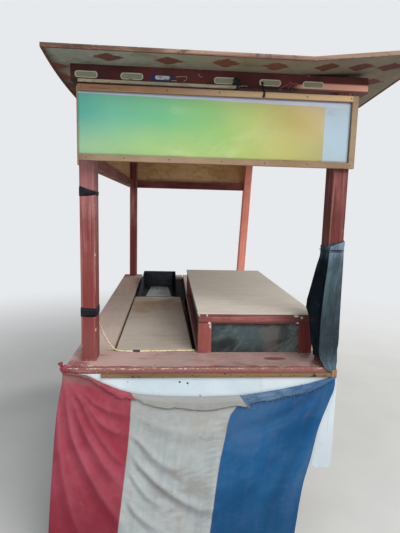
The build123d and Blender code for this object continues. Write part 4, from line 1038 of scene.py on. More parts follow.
# folds: points down the crest, height, half width
folds = [
    ([(-0.556, -0.037), (-0.542, -0.113), (-0.533, -0.183), (-0.518, -0.282), (-0.487, -0.370),
      (-0.451, -0.451), (-0.415, -0.526), (-0.374, -0.595), (-0.340, -0.650), (-0.313, -0.705)],
      0.0125, 0.017),
    ([(-0.553, -0.037), (-0.516, -0.127), (-0.491, -0.204), (-0.459, -0.283), (-0.427, -0.342),
      (-0.400, -0.393), (-0.360, -0.453), (-0.327, -0.499)], 0.0110, 0.016),
    ([(-0.547, -0.037), (-0.490, -0.127), (-0.445, -0.226), (-0.400, -0.306), (-0.360, -0.365),
      (-0.327, -0.402)], 0.0080, 0.012),
    ([(-0.534, -0.044), (-0.458, -0.155), (-0.413, -0.223), (-0.366, -0.256), (-0.307, -0.282)],
      0.0072, 0.013),
    ([(-0.508, -0.064), (-0.432, -0.142), (-0.373, -0.174), (-0.307, -0.192)], 0.0055, 0.012),
    ([(-0.563, -0.050), (-0.576, -0.196), (-0.572, -0.339), (-0.555, -0.486), (-0.524, -0.636),
      (-0.498, -0.712)], 0.0090, 0.015),
    ([(-0.287, -0.277), (-0.239, -0.322), (-0.198, -0.375), (-0.156, -0.412), (-0.098, -0.440)],
      0.0080, 0.013),
    ([(-0.283, -0.365), (-0.246, -0.419), (-0.188, -0.483), (-0.138, -0.529), (-0.071, -0.577),
      (-0.003, -0.611), (0.057, -0.618)], 0.0105, 0.014),
    ([(-0.295, -0.444), (-0.262, -0.499), (-0.221, -0.555), (-0.171, -0.593)], 0.0070, 0.010),
    ([(-0.303, -0.570), (-0.270, -0.626), (-0.220, -0.674), (-0.169, -0.713)], 0.0080, 0.012),
    ([(-0.285, -0.190), (-0.180, -0.245), (-0.060, -0.280), (0.050, -0.262), (0.105, -0.222)],
      0.0040, 0.024),
    ([(0.538, -0.085), (0.493, -0.246), (0.451, -0.380), (0.408, -0.494), (0.378, -0.609), (0.364, -0.735)],
      0.0090, 0.030),
    ([(0.531, -0.077), (0.432, -0.178), (0.337, -0.244), (0.227, -0.294), (0.158, -0.315)], 0.0060, 0.024),
    ([(0.500, -0.140), (0.400, -0.360), (0.290, -0.550), (0.190, -0.680), (0.090, -0.760)], 0.0045, 0.034),
]
# puckers of the seam between white and blue
random.seed(3)
for i in range(13):
    z = -0.22 - 0.040 * i + random.uniform(-0.012, 0.012)
    x = through(cloth["seamB"], z)
    long, drop = random.uniform(0.030, 0.070), random.uniform(0.004, 0.022)
    folds.append(([(x + 0.004, z), (x - long * 0.5, z - drop * 0.3), (x - long, z - drop)], 0.0022, 0.0050))


def foldGap(x, z, points):              # signed distance to a crest, distance past its end, share down it
    best = (9.0, 0.0, 0.0, 0.0)
    count = len(points) - 1
    for i in range(count):
        (ax, az), (bx, bz) = points[i], points[i + 1]
        dx, dz = bx - ax, bz - az
        long = hypot(dx, dz)
        t = ((x - ax) * dx + (z - az) * dz) / long ** 2
        past = max(-t, t - 1, 0.0) * long
        side = (dx * (z - az) - dz * (x - ax)) / long
        gap = hypot(side, past)
        if gap < best[0]:
            best = (gap, side, past, (i + max(0.0, min(1.0, t))) / count)
    gap, side, past, share = best
    if 0 < share < 1:
        return (gap if side > 0 else -gap), 0.0, share
    return side, past, share


def foldRise(x, z):                      # height of the folds and how dark or light they look
    total, tint = 0.0, 0.0
    for points, height, width in folds:
        low = min(p[0] for p in points) - 4 * width, min(p[1] for p in points) - 4 * width
        high = max(p[0] for p in points) + 4 * width, max(p[1] for p in points) + 4 * width
        if not (low[0] < x < high[0] and low[1] < z < high[1]):
            continue
        side, past, share = foldGap(x, z, points)
        grow = width * (0.60 + 0.75 * share)
        crest = exp(-(side / grow) ** 2)
        trough = exp(-((side + 1.9 * grow) / (1.15 * grow)) ** 2)
        power = min(1, 5 * share + 0.12) * (1 - 0.55 * share ** 4) * exp(-(past / (1.4 * width)) ** 2)
        total += height * power * (crest - 0.48 * trough)
        tint += min(1, height / 0.011) * power * (crest * 0.55 - trough)
    limit = cloth["crest"] if total > 0 else cloth["trough"]
    fall = exp(-2 * abs(total) / limit)
    total = limit * (1 - fall) / (1 + fall) * (1 if total > 0 else -1)
    return total, max(0.0, min(1.0, 0.5 + 0.5 * tint))


def clothX(u, z):
    edges = [through(cloth[k], z) for k in ("left", "seamA", "seamB", "right")]
    third = min(2, int(u * 3))
    t = u * 3 - third
    return edges[third] + (edges[third + 1] - edges[third]) * t


def clothPoint(u, v):                    # v below 0 is the folded-over top, in front
    x = clothX(u, -0.1)
    for _ in range(3):
        x = clothX(u, max(-0.16, between(cloth["topEdge"], x)))
    top = between(cloth["topEdge"], x)
    if v < 0:
        x += between(cloth["flapShift"], u) * -v
        drop = through(cloth["flapEdge"], x) - between(cloth["topEdge"], x)
        z = between(cloth["topEdge"], x) + drop * -v
        high, tint = foldRise(x, z)
        ragged = 0.0040 * sin(97 * x) * sin(41 * x + 1) + 0.0018 * sin(223 * x + 2)
        fray = 0.3 if whiteFrom < x < whiteTo else 1
        z += ragged * fray * max(0.0, -v) ** 4 * min(1, 12 * (0.54 - abs(x)))
        ripple = (0.0012 * sin(60 * x + 5) + 0.0010 * sin(131 * x + 1) + 0.0007 * sin(233 * x)) * -v
        turned = min(1, -v * 2.4)
        stand = cloth["stand"] + cloth["topStand"] * (1 - turned) + cloth["flapStand"] * turned
        stand = stand - max(0.0, high) * 0.4 - ripple
        return x, max(stand, cloth["farthest"]), z, 0.5 + (tint - 0.5) * 0.3
    z = top + (cloth["hem"] - top) * v
    x = clothX(u, z) if v > 0.12 else x + (clothX(u, z) - x) * v / 0.12
    high, tint = foldRise(x, z)
    return x, cloth["stand"] + cloth["topStand"] * max(0, 1 - v * 8) - high, z, tint


clothPaint = {
    "red": ((0.285, 0.036, 0.059), (0.385, 0.072, 0.106)),
    "lowRed": (0.200, 0.024, 0.040),
    "white": ((0.325, 0.355, 0.360), (0.465, 0.505, 0.515)),
    "dusty": (0.315, 0.285, 0.240),
    "blue": ((0.012, 0.080, 0.208), (0.021, 0.112, 0.270)),
    "lowBlue": (0.011, 0.062, 0.150),
    "flapWhite": (0.290, 0.300, 0.290),
    "flapBlue": ((0.030, 0.090, 0.175), (0.115, 0.200, 0.310)),
    "seams": ((0.3320, 0.3345), (0.6655, 0.6680)),
    "worn": (0.225, 0.115, 0.110),
    "grime": (0.25, 0.20, 0.18),
    "shadow": (0.36, 0.34, 0.36),
    "ridgeHighlight": (0.62, 0.60, 0.60),
    "seamLine": (0.22, 0.18, 0.18),
    "stain": (0.22, 0.16, 0.14),
    "seep": (0.250, 0.215, 0.180),
    "seepAt": ((0.53, 0.34), (0.12, 0.17)),
    "frayedAndShaded": ((0.15, 0.018, 0.032), (0.016, 0.036, 0.085)),
    "topEdge": (0.10, 0.085, 0.085),
}
f = Finish("cloth_stripes", "UV")
weave = f.node("ShaderNodeTexWave", {"bands_direction": "X"}, {"Vector": f.place, "Scale": 260.0})
weft = f.node("ShaderNodeTexWave", {"bands_direction": "Y"}, {"Vector": f.place, "Scale": 190.0})
relief = f.node("ShaderNodeAttribute", {"attribute_name": "relief"}, output=2)
cloud = f.noise(2.2, (1.4, 1, 1), 6, 0.62)
drip = f.noise(1, (34, 2.2, 1), 5, 0.62, 0.4)
small = f.noise(26, detail=5, rough=0.68)
flap = f.y > 1 - cloth["flapRows"] / (cloth["rows"] + cloth["flapRows"])
low = 1 - f.rise(f.y, 0.10, 0.50)
red = f.mix(*clothPaint["red"], f.rise(cloud, 0.38, 0.62))
red = f.mix(red, clothPaint["lowRed"], low * 0.6)
white = f.mix(*clothPaint["white"], f.rise(cloud * 0.6 + drip * 0.4, 0.36, 0.60))
dust = f.rise(drip * 0.3 + cloud * 0.4 + small * 0.3 + f.rise(f.y, 0.45, 0.95) * 0.10, 0.46, 0.66)
white = f.mix(white, clothPaint["dusty"], dust * 0.55)
blue = f.mix(*clothPaint["blue"], f.rise(cloud, 0.36, 0.62))
blue = f.mix(blue, clothPaint["lowBlue"], low * 0.5)
white = f.mix(white, clothPaint["flapWhite"], flap * 0.7)
flapBlue = f.mix(*clothPaint["flapBlue"], f.rise(small * 0.5 + cloud * 0.5, 0.40, 0.58))
blue = f.mix(blue, flapBlue, flap * (0.9 - f.rise(f.x, 0.78, 0.96) * 0.55))
wander = f.x + (small - 0.5) * 0.003
pastRed, pastWhite = (f.rise(wander, *seam) for seam in clothPaint["seams"])
notBlue = 1 - pastWhite
color = f.mix(f.mix(red, white, pastRed), blue, pastWhite)
wornUp = f.rise(f.y + (small - 0.5) * 0.10, 0.835, 0.875)
worn = (1 - f.rise(f.x + (small - 0.5) * 0.12, 0.10, 0.21)) * wornUp
color = f.mix(color, clothPaint["worn"], worn * 0.75)
color = f.mix(color, clothPaint["grime"], dust * 0.12)
shadow = (1 - f.rise(relief, 0.0, 0.5)) * (1 - (f.x < 0.333) * 0.3)
# painted highlight on the fold crests, painted shade in the troughs
ridgeHighlight = f.rise(relief, 0.5, 0.82)
color = f.mix(color, f.mix(color, clothPaint["shadow"], 1.0, "MULTIPLY"), shadow * 0.50)
color = f.mix(color, clothPaint["ridgeHighlight"], ridgeHighlight * 0.05)
seamLine = 1 - f.rise(abs(abs(f.x - 0.5) - 0.16667), 0.0004, 0.0020)
color = f.mix(color, clothPaint["seamLine"], seamLine * 0.5)
stain = f.rise(f.noise(11, detail=7, rough=0.72, shift=(7, 2, 0)), 0.58, 0.72) * notBlue
color = f.mix(color, clothPaint["stain"], stain * 0.45)
seep = f.rise(f.noise(1, (9, 13, 1), 3, 0.55, 0.5, (1, 8, 0)), 0.42, 0.66) * pastRed * notBlue
reach = 1 - f.rise(f.oval(f.x, f.y, *clothPaint["seepAt"]), 0.3, 1.5)
color = f.mix(color, clothPaint["seep"], seep * reach * 0.50)
# frayed raw edge and painted shadow along the folded edge
frayedAndShaded = f.rise(f.y + (small - 0.5) * 0.12, 0.988, 1.004) * (1 - (wander > 0.333) * notBlue)
color = f.mix(color, f.mix(*clothPaint["frayedAndShaded"], f.x > 0.5), frayedAndShaded * 0.8)
# painted shadow line along the folded edge
color = f.mix(color, clothPaint["topEdge"], f.rise(f.y + (small - 0.5) * 0.004, 0.9935, 0.9965) * 0.6)
height = weave * 0.25 + weft * 0.25 + small * 0.5 - seamLine * 0.8
clothLook = f.finish(color, 0.95, height, strength=0.35, depth=0.0008, shine=0.08)

total = cloth["rows"] + cloth["flapRows"]
shape = sheetGrid(cloth["columns"], total)
foldShadings = shape.verts.layers.float.new("relief")
flapShare = cloth["flapRows"] / total
for vert in shape.verts:
    u, down = vert.co.x + 0.5, 0.5 - vert.co.y
    v = (down - flapShare) / (1 - flapShare) if down > flapShare else -(1 - down / flapShare)
    x, stand, z, vert[foldShadings] = clothPoint(u, v)
    vert.co = fromDeck(x, stand, z)
faceFront(shape)
clothSheet = makePiece(shape, "cloth_sheet", clothLook)
thicken(clothSheet, cloth["thick"])
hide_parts("cloth_curtain")

# loose threads along the folded edge: a tuft where the red ends, two long ones, the rest short
threadPaint = {
    "red": (0.36, 0.075, 0.100),
    "white": (0.42, 0.41, 0.38),
    "whiteFrom": deckX - 0.272,
    "blue": (0.10, 0.19, 0.30),
    "blueFrom": deckX + 0.190,
    "grime": (0.10, 0.085, 0.08),
}
f = Finish("cloth_threads")
fuzz = f.noise(300, detail=2)
tint = f.mix(threadPaint["red"], threadPaint["white"], f.x > threadPaint["whiteFrom"])
tint = f.mix(tint, threadPaint["blue"], f.x > threadPaint["blueFrom"])
threadLook = f.finish(f.mix(tint, threadPaint["grime"], f.rise(fuzz, 0.40, 0.60) * 0.7), 0.9, fuzz)
shape = bmesh.new()
threads = []                             # x, top z, long, lean, radius
for i in range(150):
    x = random.uniform(-0.42, 0.52)
    onWhite = whiteFrom < x < whiteTo
    thick = 0.0004 if onWhite else 0.0008
    long = random.uniform(0.003, 0.011) * (1 if onWhite else 1.3)
    threads.append((x, through(cloth["flapEdge"], x) + 0.002, long, random.gauss(0, 0.5), thick))
for i in range(9):
    x = random.uniform(-0.361, -0.341)
    z = -0.101 - random.uniform(0, 0.014)
    threads.append((x, z, random.uniform(0.006, 0.014), random.gauss(-0.5, 0.4), 0.0006))
for i in range(7):
    x = -0.270 + random.uniform(-0.004, 0.004)
    threads.append((x, -0.108 - 0.0025 * i, random.uniform(0.005, 0.012), 1.1, 0.0006))
threads += [(0.375, -0.112, 0.030, 0.1, 0.0005), (0.377, -0.140, 0.026, -0.2, 0.0005)]
threads += [(-0.211, -0.152, 0.021, 0.1, 0.0005), (-0.206, -0.154, 0.017, -0.3, 0.0005)]
for x, z, long, lean, radius in threads:
    strand = bmesh.ops.create_cone(shape, cap_ends=True, segments=5, radius1=radius * 0.5, radius2=radius,
                                   depth=long)
    hang = Matrix.Translation(fromDeck(x, -0.0180, z)) @ Matrix.Rotation(-lean, 4, "Y")
    bmesh.ops.transform(shape, matrix=hang @ Matrix.Translation((0, 0, -long / 2)), verts=strand["verts"])
clothThreads = makePiece(shape, "cloth_threads", threadLook)
loopPoints = [(0.171, -0.122), (0.168, -0.136), (0.183, -0.154), (0.194, -0.167), (0.221, -0.168),
              (0.232, -0.163), (0.238, -0.147)]
loopPlaces = [fromDeck(x, -0.0195, z) for x, z in loopPoints]
threadLoop = makeCurve("thread_loop", loopPlaces, 0.0007, threadLook)
print("cloth hung")

# red knot that ties the cloth's left corner to the deck
knot = {
    "place": (-0.549, -0.010, 0.003),
    "size": 0.0125,
    "loops": 3,
    "tail": (0.010, 0.004, 0.024),       # its two radii and its length
    "tailAt": (-0.560, -0.010, 0.016),
    "tailTilt": 158,
    "paint": ((0.22, 0.030, 0.050), (0.36, 0.070, 0.095)),
}
shape = bmesh.new()
for loop in range(knot["loops"]):
    ring = bmesh.ops.create_uvsphere(shape, u_segments=20, v_segments=12, radius=knot["size"])
    spin = Matrix.Rotation(radians(65 * loop + 20), 4, Vector((0.4, 1, 0.3 * loop)))
    scale = Matrix.Diagonal((1.30 - 0.2 * loop, 0.75, 0.8, 1))
    shift = Vector((0.004 * (loop - 1), -0.003 * loop, 0.007 * (loop - 1)))
    move = Matrix.Translation(fromDeck(*knot["place"]) + shift)
    bmesh.ops.transform(shape, matrix=move @ spin @ scale, verts=ring["verts"])
wide, narrow, long = knot["tail"]
tail = bmesh.ops.create_cone(shape, cap_ends=True, segments=14, radius1=wide, radius2=narrow, depth=long)
tilted = Matrix.Translation(fromDeck(*knot["tailAt"])) @ Matrix.Rotation(radians(knot["tailTilt"]), 4, "Y")
bmesh.ops.transform(shape, matrix=tilted, verts=tail["verts"])
for vert in shape.verts:
    vert.co += Vector((sin(310 * vert.co.z), cos(290 * vert.co.x), sin(330 * vert.co.y))) * 0.0012
f = Finish("knot_cloth")
cloud = f.noise(60, detail=5)
knotLook = f.finish(f.mix(*knot["paint"], f.rise(cloud, 0.4, 0.6)), 0.9, cloud)
makePiece(shape, "corner_knot", knotLook)

# tarpaulin wrapped round the right front post
tarp = {
    "segments": 128,
    "rows": 80,
    "low": 0.030,
    "high": 0.508,
    "tie": 0.480,
    "gap": 0.0030,
    "slack": [(0, 0.9), (0.20, 0.85), (0.40, 0.55), (0.455, 0.25), (0.480, 0.05), (0.500, 0.35), (0.52, 0.6)],
    # how far it swells towards the case, by height above the deck
    "swell": [(0.026, 0.001), (0.062, 0.011), (0.097, 0.021), (0.141, 0.026), (0.193, 0.032), (0.236, 0.049),
              (0.270, 0.047), (0.334, 0.033), (0.418, 0.016), (0.480, 0.002), (0.520, 0.006)],
    "swellAt": 172,                      # degrees round the post, from +X
    "swellWide": 0.42,
    "from": -100,
    "over": 372,
    "thick": 0.0012,
    "shade": (0.50, 0.50, 0.52),
    "light": (1.55, 1.55, 1.55),
    "dust": (0.16, 0.165, 0.16),
}
postMid = Vector(((rightLow.x + rightHigh.x) / 2, (rightLow.y + rightHigh.y) / 2))
postHalf = Vector(((rightHigh.x - rightLow.x) / 2, (rightHigh.y - rightLow.y) / 2))


def tarpReach(angle, height):            # how far the cloth lies from the post's middle
    c, s = cos(angle), sin(angle)
    half = (postHalf.x + tarp["gap"], postHalf.y + tarp["gap"])
    power = 5
    base = 1 / ((abs(c) / half[0]) ** power + (abs(s) / half[1]) ** power) ** (1 / power)
    ripple = 0.5 + 0.5 * sin(11 * angle + 3.0 * height + 1.2 * sin(2 * angle + 9 * height))
    fine = 0.5 + 0.5 * sin(23 * angle - 6 * height)
    out = (0.0015 + 0.0040 * ripple + 0.0016 * fine) * between(tarp["slack"], height) + 0.0010
    away = (angle - radians(tarp["swellAt"]) + pi) % (2 * pi) - pi
    return base + out + exp(-(away / tarp["swellWide"]) ** 2) * between(tarp["swell"], height)


def tarpFinish(name, stops, shine):
    f = Finish(name, "UV")
    cloud = f.noise(1, (4, 2.4, 1), 6, 0.64, 0.4)
    crease = f.noise(1, (13, 3, 1), 5, 0.6, 1.2)
    fold = f.noise(1, (5, 9, 1), 3, 0.55, 1.6, (2, 6, 0), (0, 0, radians(38)))
    fine = f.noise(1, (240, 160, 1), 3)
    line = 1 - f.rise(abs(crease - 0.5), 0.0, 0.020)
    bend = (1 - f.rise(abs(fold - 0.5), 0.0, 0.030)) * (1 - f.rise(f.y, 0.22, 0.45))
    lengthways = f.node("ShaderNodeValToRGB", {"stops": stops}, {0: f.y + (cloud - 0.5) * 0.10})
    # painted light and shade: a darker and a lighter copy of the colour, lighter along creases and bends
    dark = f.mix(lengthways, tarp["shade"], 1.0, "MULTIPLY")
    light = f.mix(lengthways, tarp["light"], 1.0, "MULTIPLY")
    color = f.mix(dark, light, f.rise(cloud * 0.5 + crease * 0.5, 0.36, 0.64))
    color = f.mix(color, light, line * f.rise(cloud, 0.45, 0.6) * 0.5)
    color = f.mix(color, light, bend * 0.6)
    dust = f.rise(f.noise(1, (9, 7, 1), 7, 0.7, shift=(3, 3, 0)), 0.56, 0.74)
    color = f.mix(color, tarp["dust"], dust * 0.22)
    height = crease * 0.9 + bend * 0.5 + fine * 0.12 - line * 0.3
    return f.finish(color, 0.55 + cloud * 0.25, height, strength=0.5, depth=0.004, shine=shine)


# the inner wrap takes a much darker copy: painted shade
tarpShade = tarpFinish("tarpaulin_inner_shaded", [
    (0.00, (0.008, 0.014, 0.019)),
    (0.50, (0.003, 0.006, 0.009)),
    (0.88, (0.006, 0.012, 0.017)),
    (1.00, (0.040, 0.062, 0.082)),
], 0.05)
tarpLook = tarpFinish("tarpaulin_outer", [
    (0.00, (0.090, 0.155, 0.200)),
    (0.09, (0.045, 0.075, 0.096)),
    (0.20, (0.020, 0.032, 0.041)),
    (0.45, (0.026, 0.041, 0.052)),
    (0.63, (0.040, 0.066, 0.078)),
    (0.88, (0.062, 0.098, 0.122)),
    (0.96, (0.125, 0.185, 0.240)),
], 0.25)

shape = sheetGrid(tarp["segments"], tarp["rows"])
for vert in shape.verts:
    u, v = vert.co.x + 0.5, vert.co.y + 0.5
    angle = radians(tarp["from"]) + u * radians(tarp["over"])
    top = tarp["high"] + 0.014 * cos(angle - radians(-30)) + 0.004 * sin(9 * angle)
    foot = tarp["low"] + 0.006 * sin(4 * angle + 1)
    height = foot + (top - foot) * v
    reach = tarpReach(angle, height) + 0.0020 * u
    vert.co = (postMid.x + cos(angle) * reach, postMid.y + sin(angle) * reach, deckZ + height)
bmesh.ops.recalc_face_normals(shape, faces=shape.faces[:])
tarpWrap = makePiece(shape, "tarp_wrap", tarpShade)
thicken(tarpWrap, tarp["thick"])
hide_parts("tarpaulin")

# its outer layer: down the front and the right side, its corner in a point over the plank's edge
panel = {
    "columns": 60,
    "rows": 110,
    "tip": -0.0205,
    "top": (0.499, 0.522),
    "left": [(-0.0205, 0.527), (0.003, 0.497), (0.042, 0.477), (0.072, 0.473), (0.199, 0.473), (0.324, 0.479),
             (0.462, 0.490), (0.480, 0.492), (0.520, 0.494)],
    "right": [(-0.0205, 0.531), (0.000, 0.5470), (0.029, 0.5530), (0.072, 0.5520), (0.128, 0.5550),
              (0.200, 0.5535), (0.300, 0.5522), (0.520, 0.5520)],
    "side": [(0.038, 0.0), (0.12, 0.040), (0.20, 0.056), (0.46, 0.050), (0.52, 0.062)],
    "stand": [(-0.0205, -0.0050), (-0.003, -0.0060), (0.006, -0.0050), (0.018, 0.0000), (0.045, 0.0062),
              (0.080, 0.0086), (0.440, 0.0112), (0.480, 0.0148), (0.520, 0.0106)],
}
shape = sheetGrid(panel["columns"], panel["rows"], 0.3)
for vert in shape.verts:
    u, v = vert.co.x + 0.5, vert.co.y + 0.5
    top = panel["top"][0] + (panel["top"][1] - panel["top"][0]) * min(1, u / 0.48)
    z = panel["tip"] + (top - panel["tip"]) * v
    left, right = between(panel["left"], z), between(panel["right"], z)
    side, front = between(panel["side"], z), between(panel["stand"], z)
    loose = min(1, v * 6) * (1 - exp(-((z - tarp["tie"]) / 0.035) ** 2))
    front -= (0.0016 + 0.0016 * sin(19 * u + 2 * z) + 0.0010 * sin(37 * u - 9 * z)) * loose
    front -= 0.0030 * loose * exp(-((u - 0.42 - 0.12 * (0.4 - z)) / 0.055) ** 2)
    length = right - left + side
    along = u * length
    corner = min(0.005, (right - left) / 3)
    if along < right - left - corner:
        x, y = left + along, front
    elif along < right - left + corner:
        bend = (along - (right - left - corner)) / (2 * corner) * pi / 2
        x, y = right - corner + corner * sin(bend), front + corner * (1 - cos(bend))
    else:
        x, y = right + 0.0008 * sin(70 * along), front + along - (right - left)
    vert.co = fromDeck(x, y, z)
faceFront(shape)
tarpFlap = makePiece(shape, "tarp_flap", tarpLook)
thicken(tarpFlap, tarp["thick"])

# two turns of dark string tie it near its top
tie = {
    "turns": 2.0,
    "points": 72,
    "thick": 0.0013,
    "out": 0.0060,
    "paint": ((0.010, 0.011, 0.013), (0.032, 0.034, 0.040)),
}
tiePlaces = []
for i in range(tie["points"]):
    angle = 2 * pi * tie["turns"] * i / (tie["points"] - 1)
    height = tarp["tie"] + 0.006 * (i / tie["points"] - 0.5) * 2 + 0.002 * sin(3 * angle)
    reach = tarpReach(angle % (2 * pi), height) + tie["out"]
    tiePlaces.append((postMid.x + cos(angle) * reach, postMid.y + sin(angle) * reach, deckZ + height))
f = Finish("tie_string")
twist = f.noise(400, detail=2)
tieLook = f.finish(f.mix(*tie["paint"], f.rise(twist, 0.4, 0.6)), 0.8, twist)
makeCurve("tarp_tie", tiePlaces, tie["thick"], tieLook, kind="POLY", facets=3)
print("tarpaulin wrapped")

# lamp cord
cordMm = {                               # the route of part.py, in millimetres
    "x": -535.25, "y": -998.45, "deck": 900.0, "lying": 903.25, "case": -99.0,
    "thick": 6.5, "box": 861.0,
}
cordX, cordY, deckMm, lieMm, caseX = (cordMm[k] for k in ("x", "y", "deck", "lying", "case"))
route = [
    (cordX, cordY, deckMm + 187),
    (cordX, cordY, deckMm + 162),
    (cordX + 9, cordY + 5, deckMm + 136),
    (cordX + 20, cordY + 14, deckMm + 93),
    (cordX + 45, cordY + 28, deckMm + 38),
    (cordX + 72, cordY + 33, lieMm + 2),
    (cordX + 104, cordY + 24, lieMm),
    (cordX + 165, cordY + 23, lieMm),
    (cordX + 232, cordY + 27, lieMm),
    (cordX + 298, cordY + 29, lieMm),
    (cordX + 350, cordY + 32, lieMm + 1),
    (caseX - 52, cordY + 30, lieMm + 0.5),
    (caseX - 30, cordY + 31, lieMm + 1),
    (caseX - 15, cordY + 39, lieMm + 1),
    (caseX - 7, cordY + 51, deckMm - 5),
    (caseX - 5.5, cordY + 60, deckMm - 19),
    (caseX - 7, cordY + 63, deckMm - 30),
    (caseX - 7, cordY + 63, cordMm["box"]),
]
flexPaint = {"sheath": ((0.62, 0.50, 0.20), (0.76, 0.70, 0.50)), "soil": (0.26, 0.17, 0.08)}
f = Finish("flex_sheath")
twist = f.noise(1, (90, 90, 90), 2)
soil = f.noise(24, detail=5)
color = f.mix(*flexPaint["sheath"], f.rise(twist, 0.42, 0.56))
color = f.mix(color, flexPaint["soil"], f.rise(soil, 0.52, 0.70) * 0.55)
flexLook = f.finish(color, 0.42, twist, strength=0.3)


def cordCurve(name, points, material):   # points in millimetres
    places = [tuple(c / 1000 for c in place) for place in points]
    radius = cordMm["thick"] / 2000
    return makeCurve(name, places, radius, material, facets=4, steps=8, capped=True)


lampCord = cordCurve("flex_free", route, flexLook)
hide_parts("lamp_cord")

# short black sleeve over a joint in the cord
sleeve = {
    "x": -0.284,
    "long": 0.030,
    "radius": 0.0048,
    "paint": ((0.012, 0.013, 0.016), (0.040, 0.042, 0.048)),
}
shape = bmesh.new()
bmesh.ops.create_cone(shape, cap_ends=True, segments=20, radius1=sleeve["radius"],
                      radius2=sleeve["radius"] * 0.93, depth=sleeve["long"])
bmesh.ops.bevel(shape, geom=[e for e in shape.edges if e.calc_face_angle(0) > 1], offset=0.0012, segments=2,
                affect="EDGES", profile=0.5, material=-1)
bmesh.ops.transform(shape, matrix=Matrix.Rotation(radians(90), 4, "Y"), verts=shape.verts[:])
sleeveAt = (deckX + sleeve["x"], (cordY + 24.3) / 1000, (lieMm + 1.4) / 1000)
bmesh.ops.translate(shape, vec=sleeveAt, verts=shape.verts[:])
f = Finish("sleeve_tape")
wrinkle = f.noise(1, (900, 200, 200), 3)
tapeLook = f.finish(f.mix(*sleeve["paint"], f.rise(wrinkle, 0.4, 0.62)), 0.45, wrinkle)
sleevePiece = makePiece(shape, "flex_sleeve", tapeLook)
tuple(c / 1000 for c in route[0])
cordMm["thick"] / 1000
heldTop = beamLow.z * 1000
heldMiddle = (heldTop + deckMm + 187) / 2
heldRoute = [(cordX, cordY, heldTop), (cordX, cordY, heldMiddle), (cordX, cordY, deckMm + 187)]
held = cordCurve("flex_held", heldRoute, flexLook)
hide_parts("lamp_cord_held")

# bands of tape round the post and the cord behind it
bands = [
    {"low": 0.187, "high": 0.226, "lean": 0.000, "narrow": 0.10},
    {"low": 0.671, "high": 0.711, "lean": -0.004, "narrow": 0.62},
]
tapePaint = {"tape": ((0.006, 0.008, 0.011), (0.020, 0.024, 0.032)), "dust": (0.10, 0.095, 0.09)}
f = Finish("tape_band")
wrinkle = f.noise(1, (60, 60, 700), 4)
dusty = f.rise(f.noise(40, detail=5), 0.50, 0.70)
color = f.mix(*tapePaint["tape"], f.rise(wrinkle, 0.46, 0.66))
color = f.mix(color, tapePaint["dust"], dusty * 0.12)
bandLook = f.finish(color, 0.60 + dusty * 0.2, wrinkle, strength=0.4, shine=0.12)
shape = bmesh.new()
for band in bands:
    for layer in range(3):
        inset = 0.0007 + 0.0006 * layer
        ring = bmesh.ops.create_grid(shape, x_segments=64, y_segments=4, size=0.5)
        for vert in ring["verts"]:
            angle = (vert.co.x + 0.5) * 2 * pi
            up = vert.co.y + 0.5
            c, s = cos(angle), sin(angle)
            half = ((postHigh.x - postLow.x) / 2 + inset, (postHigh.y - postLow.y) / 2 + inset)
            reach = 1 / ((abs(c) / half[0]) ** 22 + (abs(s) / half[1]) ** 22) ** (1 / 22)
            x, y = c * reach, s * reach
            overCord = exp(-((x - (cordX / 1000 - (postLow.x + postHigh.x) / 2)) / 0.006) ** 4)
            if s > 0.5:
                y += overCord * (cordMm["thick"] / 1000 + 0.0010)
            side = max(0.0, min(1.0, (x / half[0] + 1) / 2))
            tall = (band["high"] - band["low"]) * (1 - band["narrow"] * side) - 0.004 * layer
            middle = (band["low"] + band["high"]) / 2 + band["lean"] * side
            middle += 0.0022 * (layer - 1) * cos(angle)
            z = middle + (up - 0.5) * tall + 0.0008 * sin(5 * angle + layer)
            vert.co = ((postLow.x + postHigh.x) / 2 + x, (postLow.y + postHigh.y) / 2 + y, deckZ + z)
bmesh.ops.remove_doubles(shape, verts=shape.verts[:], dist=0.00004)
bmesh.ops.recalc_face_normals(shape, faces=shape.faces[:])
bmesh.ops.solidify(shape, geom=shape.faces[:], thickness=-0.0004)
tapePiece = makePiece(shape, "tape_wraps", bandLook)
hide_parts("tape_bands")
print("cord and tape done")

# small things on the sign end
webPaint = ((0.010, 0.010, 0.011), (0.036, 0.035, 0.036))
f = Finish("webbing_black")
threads = f.noise(1, (900, 900, 300), 2)
webLook = f.finish(f.mix(*webPaint, f.rise(threads, 0.4, 0.6)), 0.85, threads)
strap = {"x": 0.194, "low": 1.052, "high": 1.112, "wide": 0.008, "thick": 0.0016}
shape = bmesh.new()
bmesh.ops.create_cube(shape, size=1)
upright = [e for e in shape.edges if abs(e.verts[0].co.z - e.verts[1].co.z) > 0.5]
bmesh.ops.subdivide_edges(shape, edges=upright, cuts=14)
for vert in shape.verts:
    t = vert.co.z + 0.5
    z = strap["low"] + (strap["high"] - strap["low"]) * t
    hung = deckFront - 0.0015 if deckZ + z < signHigh.z else beamLow.y - 0.0015
    if signHigh.z <= deckZ + z < signHigh.z + 0.010:
        hung = (deckFront + beamLow.y) / 2 - 0.003
    x = deckX + strap["x"] + vert.co.x * strap["wide"] * (1 + 0.2 * sin(20 * t)) + 0.0025 * sin(5 * t)
    vert.co = (x, hung + (vert.co.y - 0.5) * strap["thick"], deckZ + z)
makePiece(shape, "beam_strap", webLook)

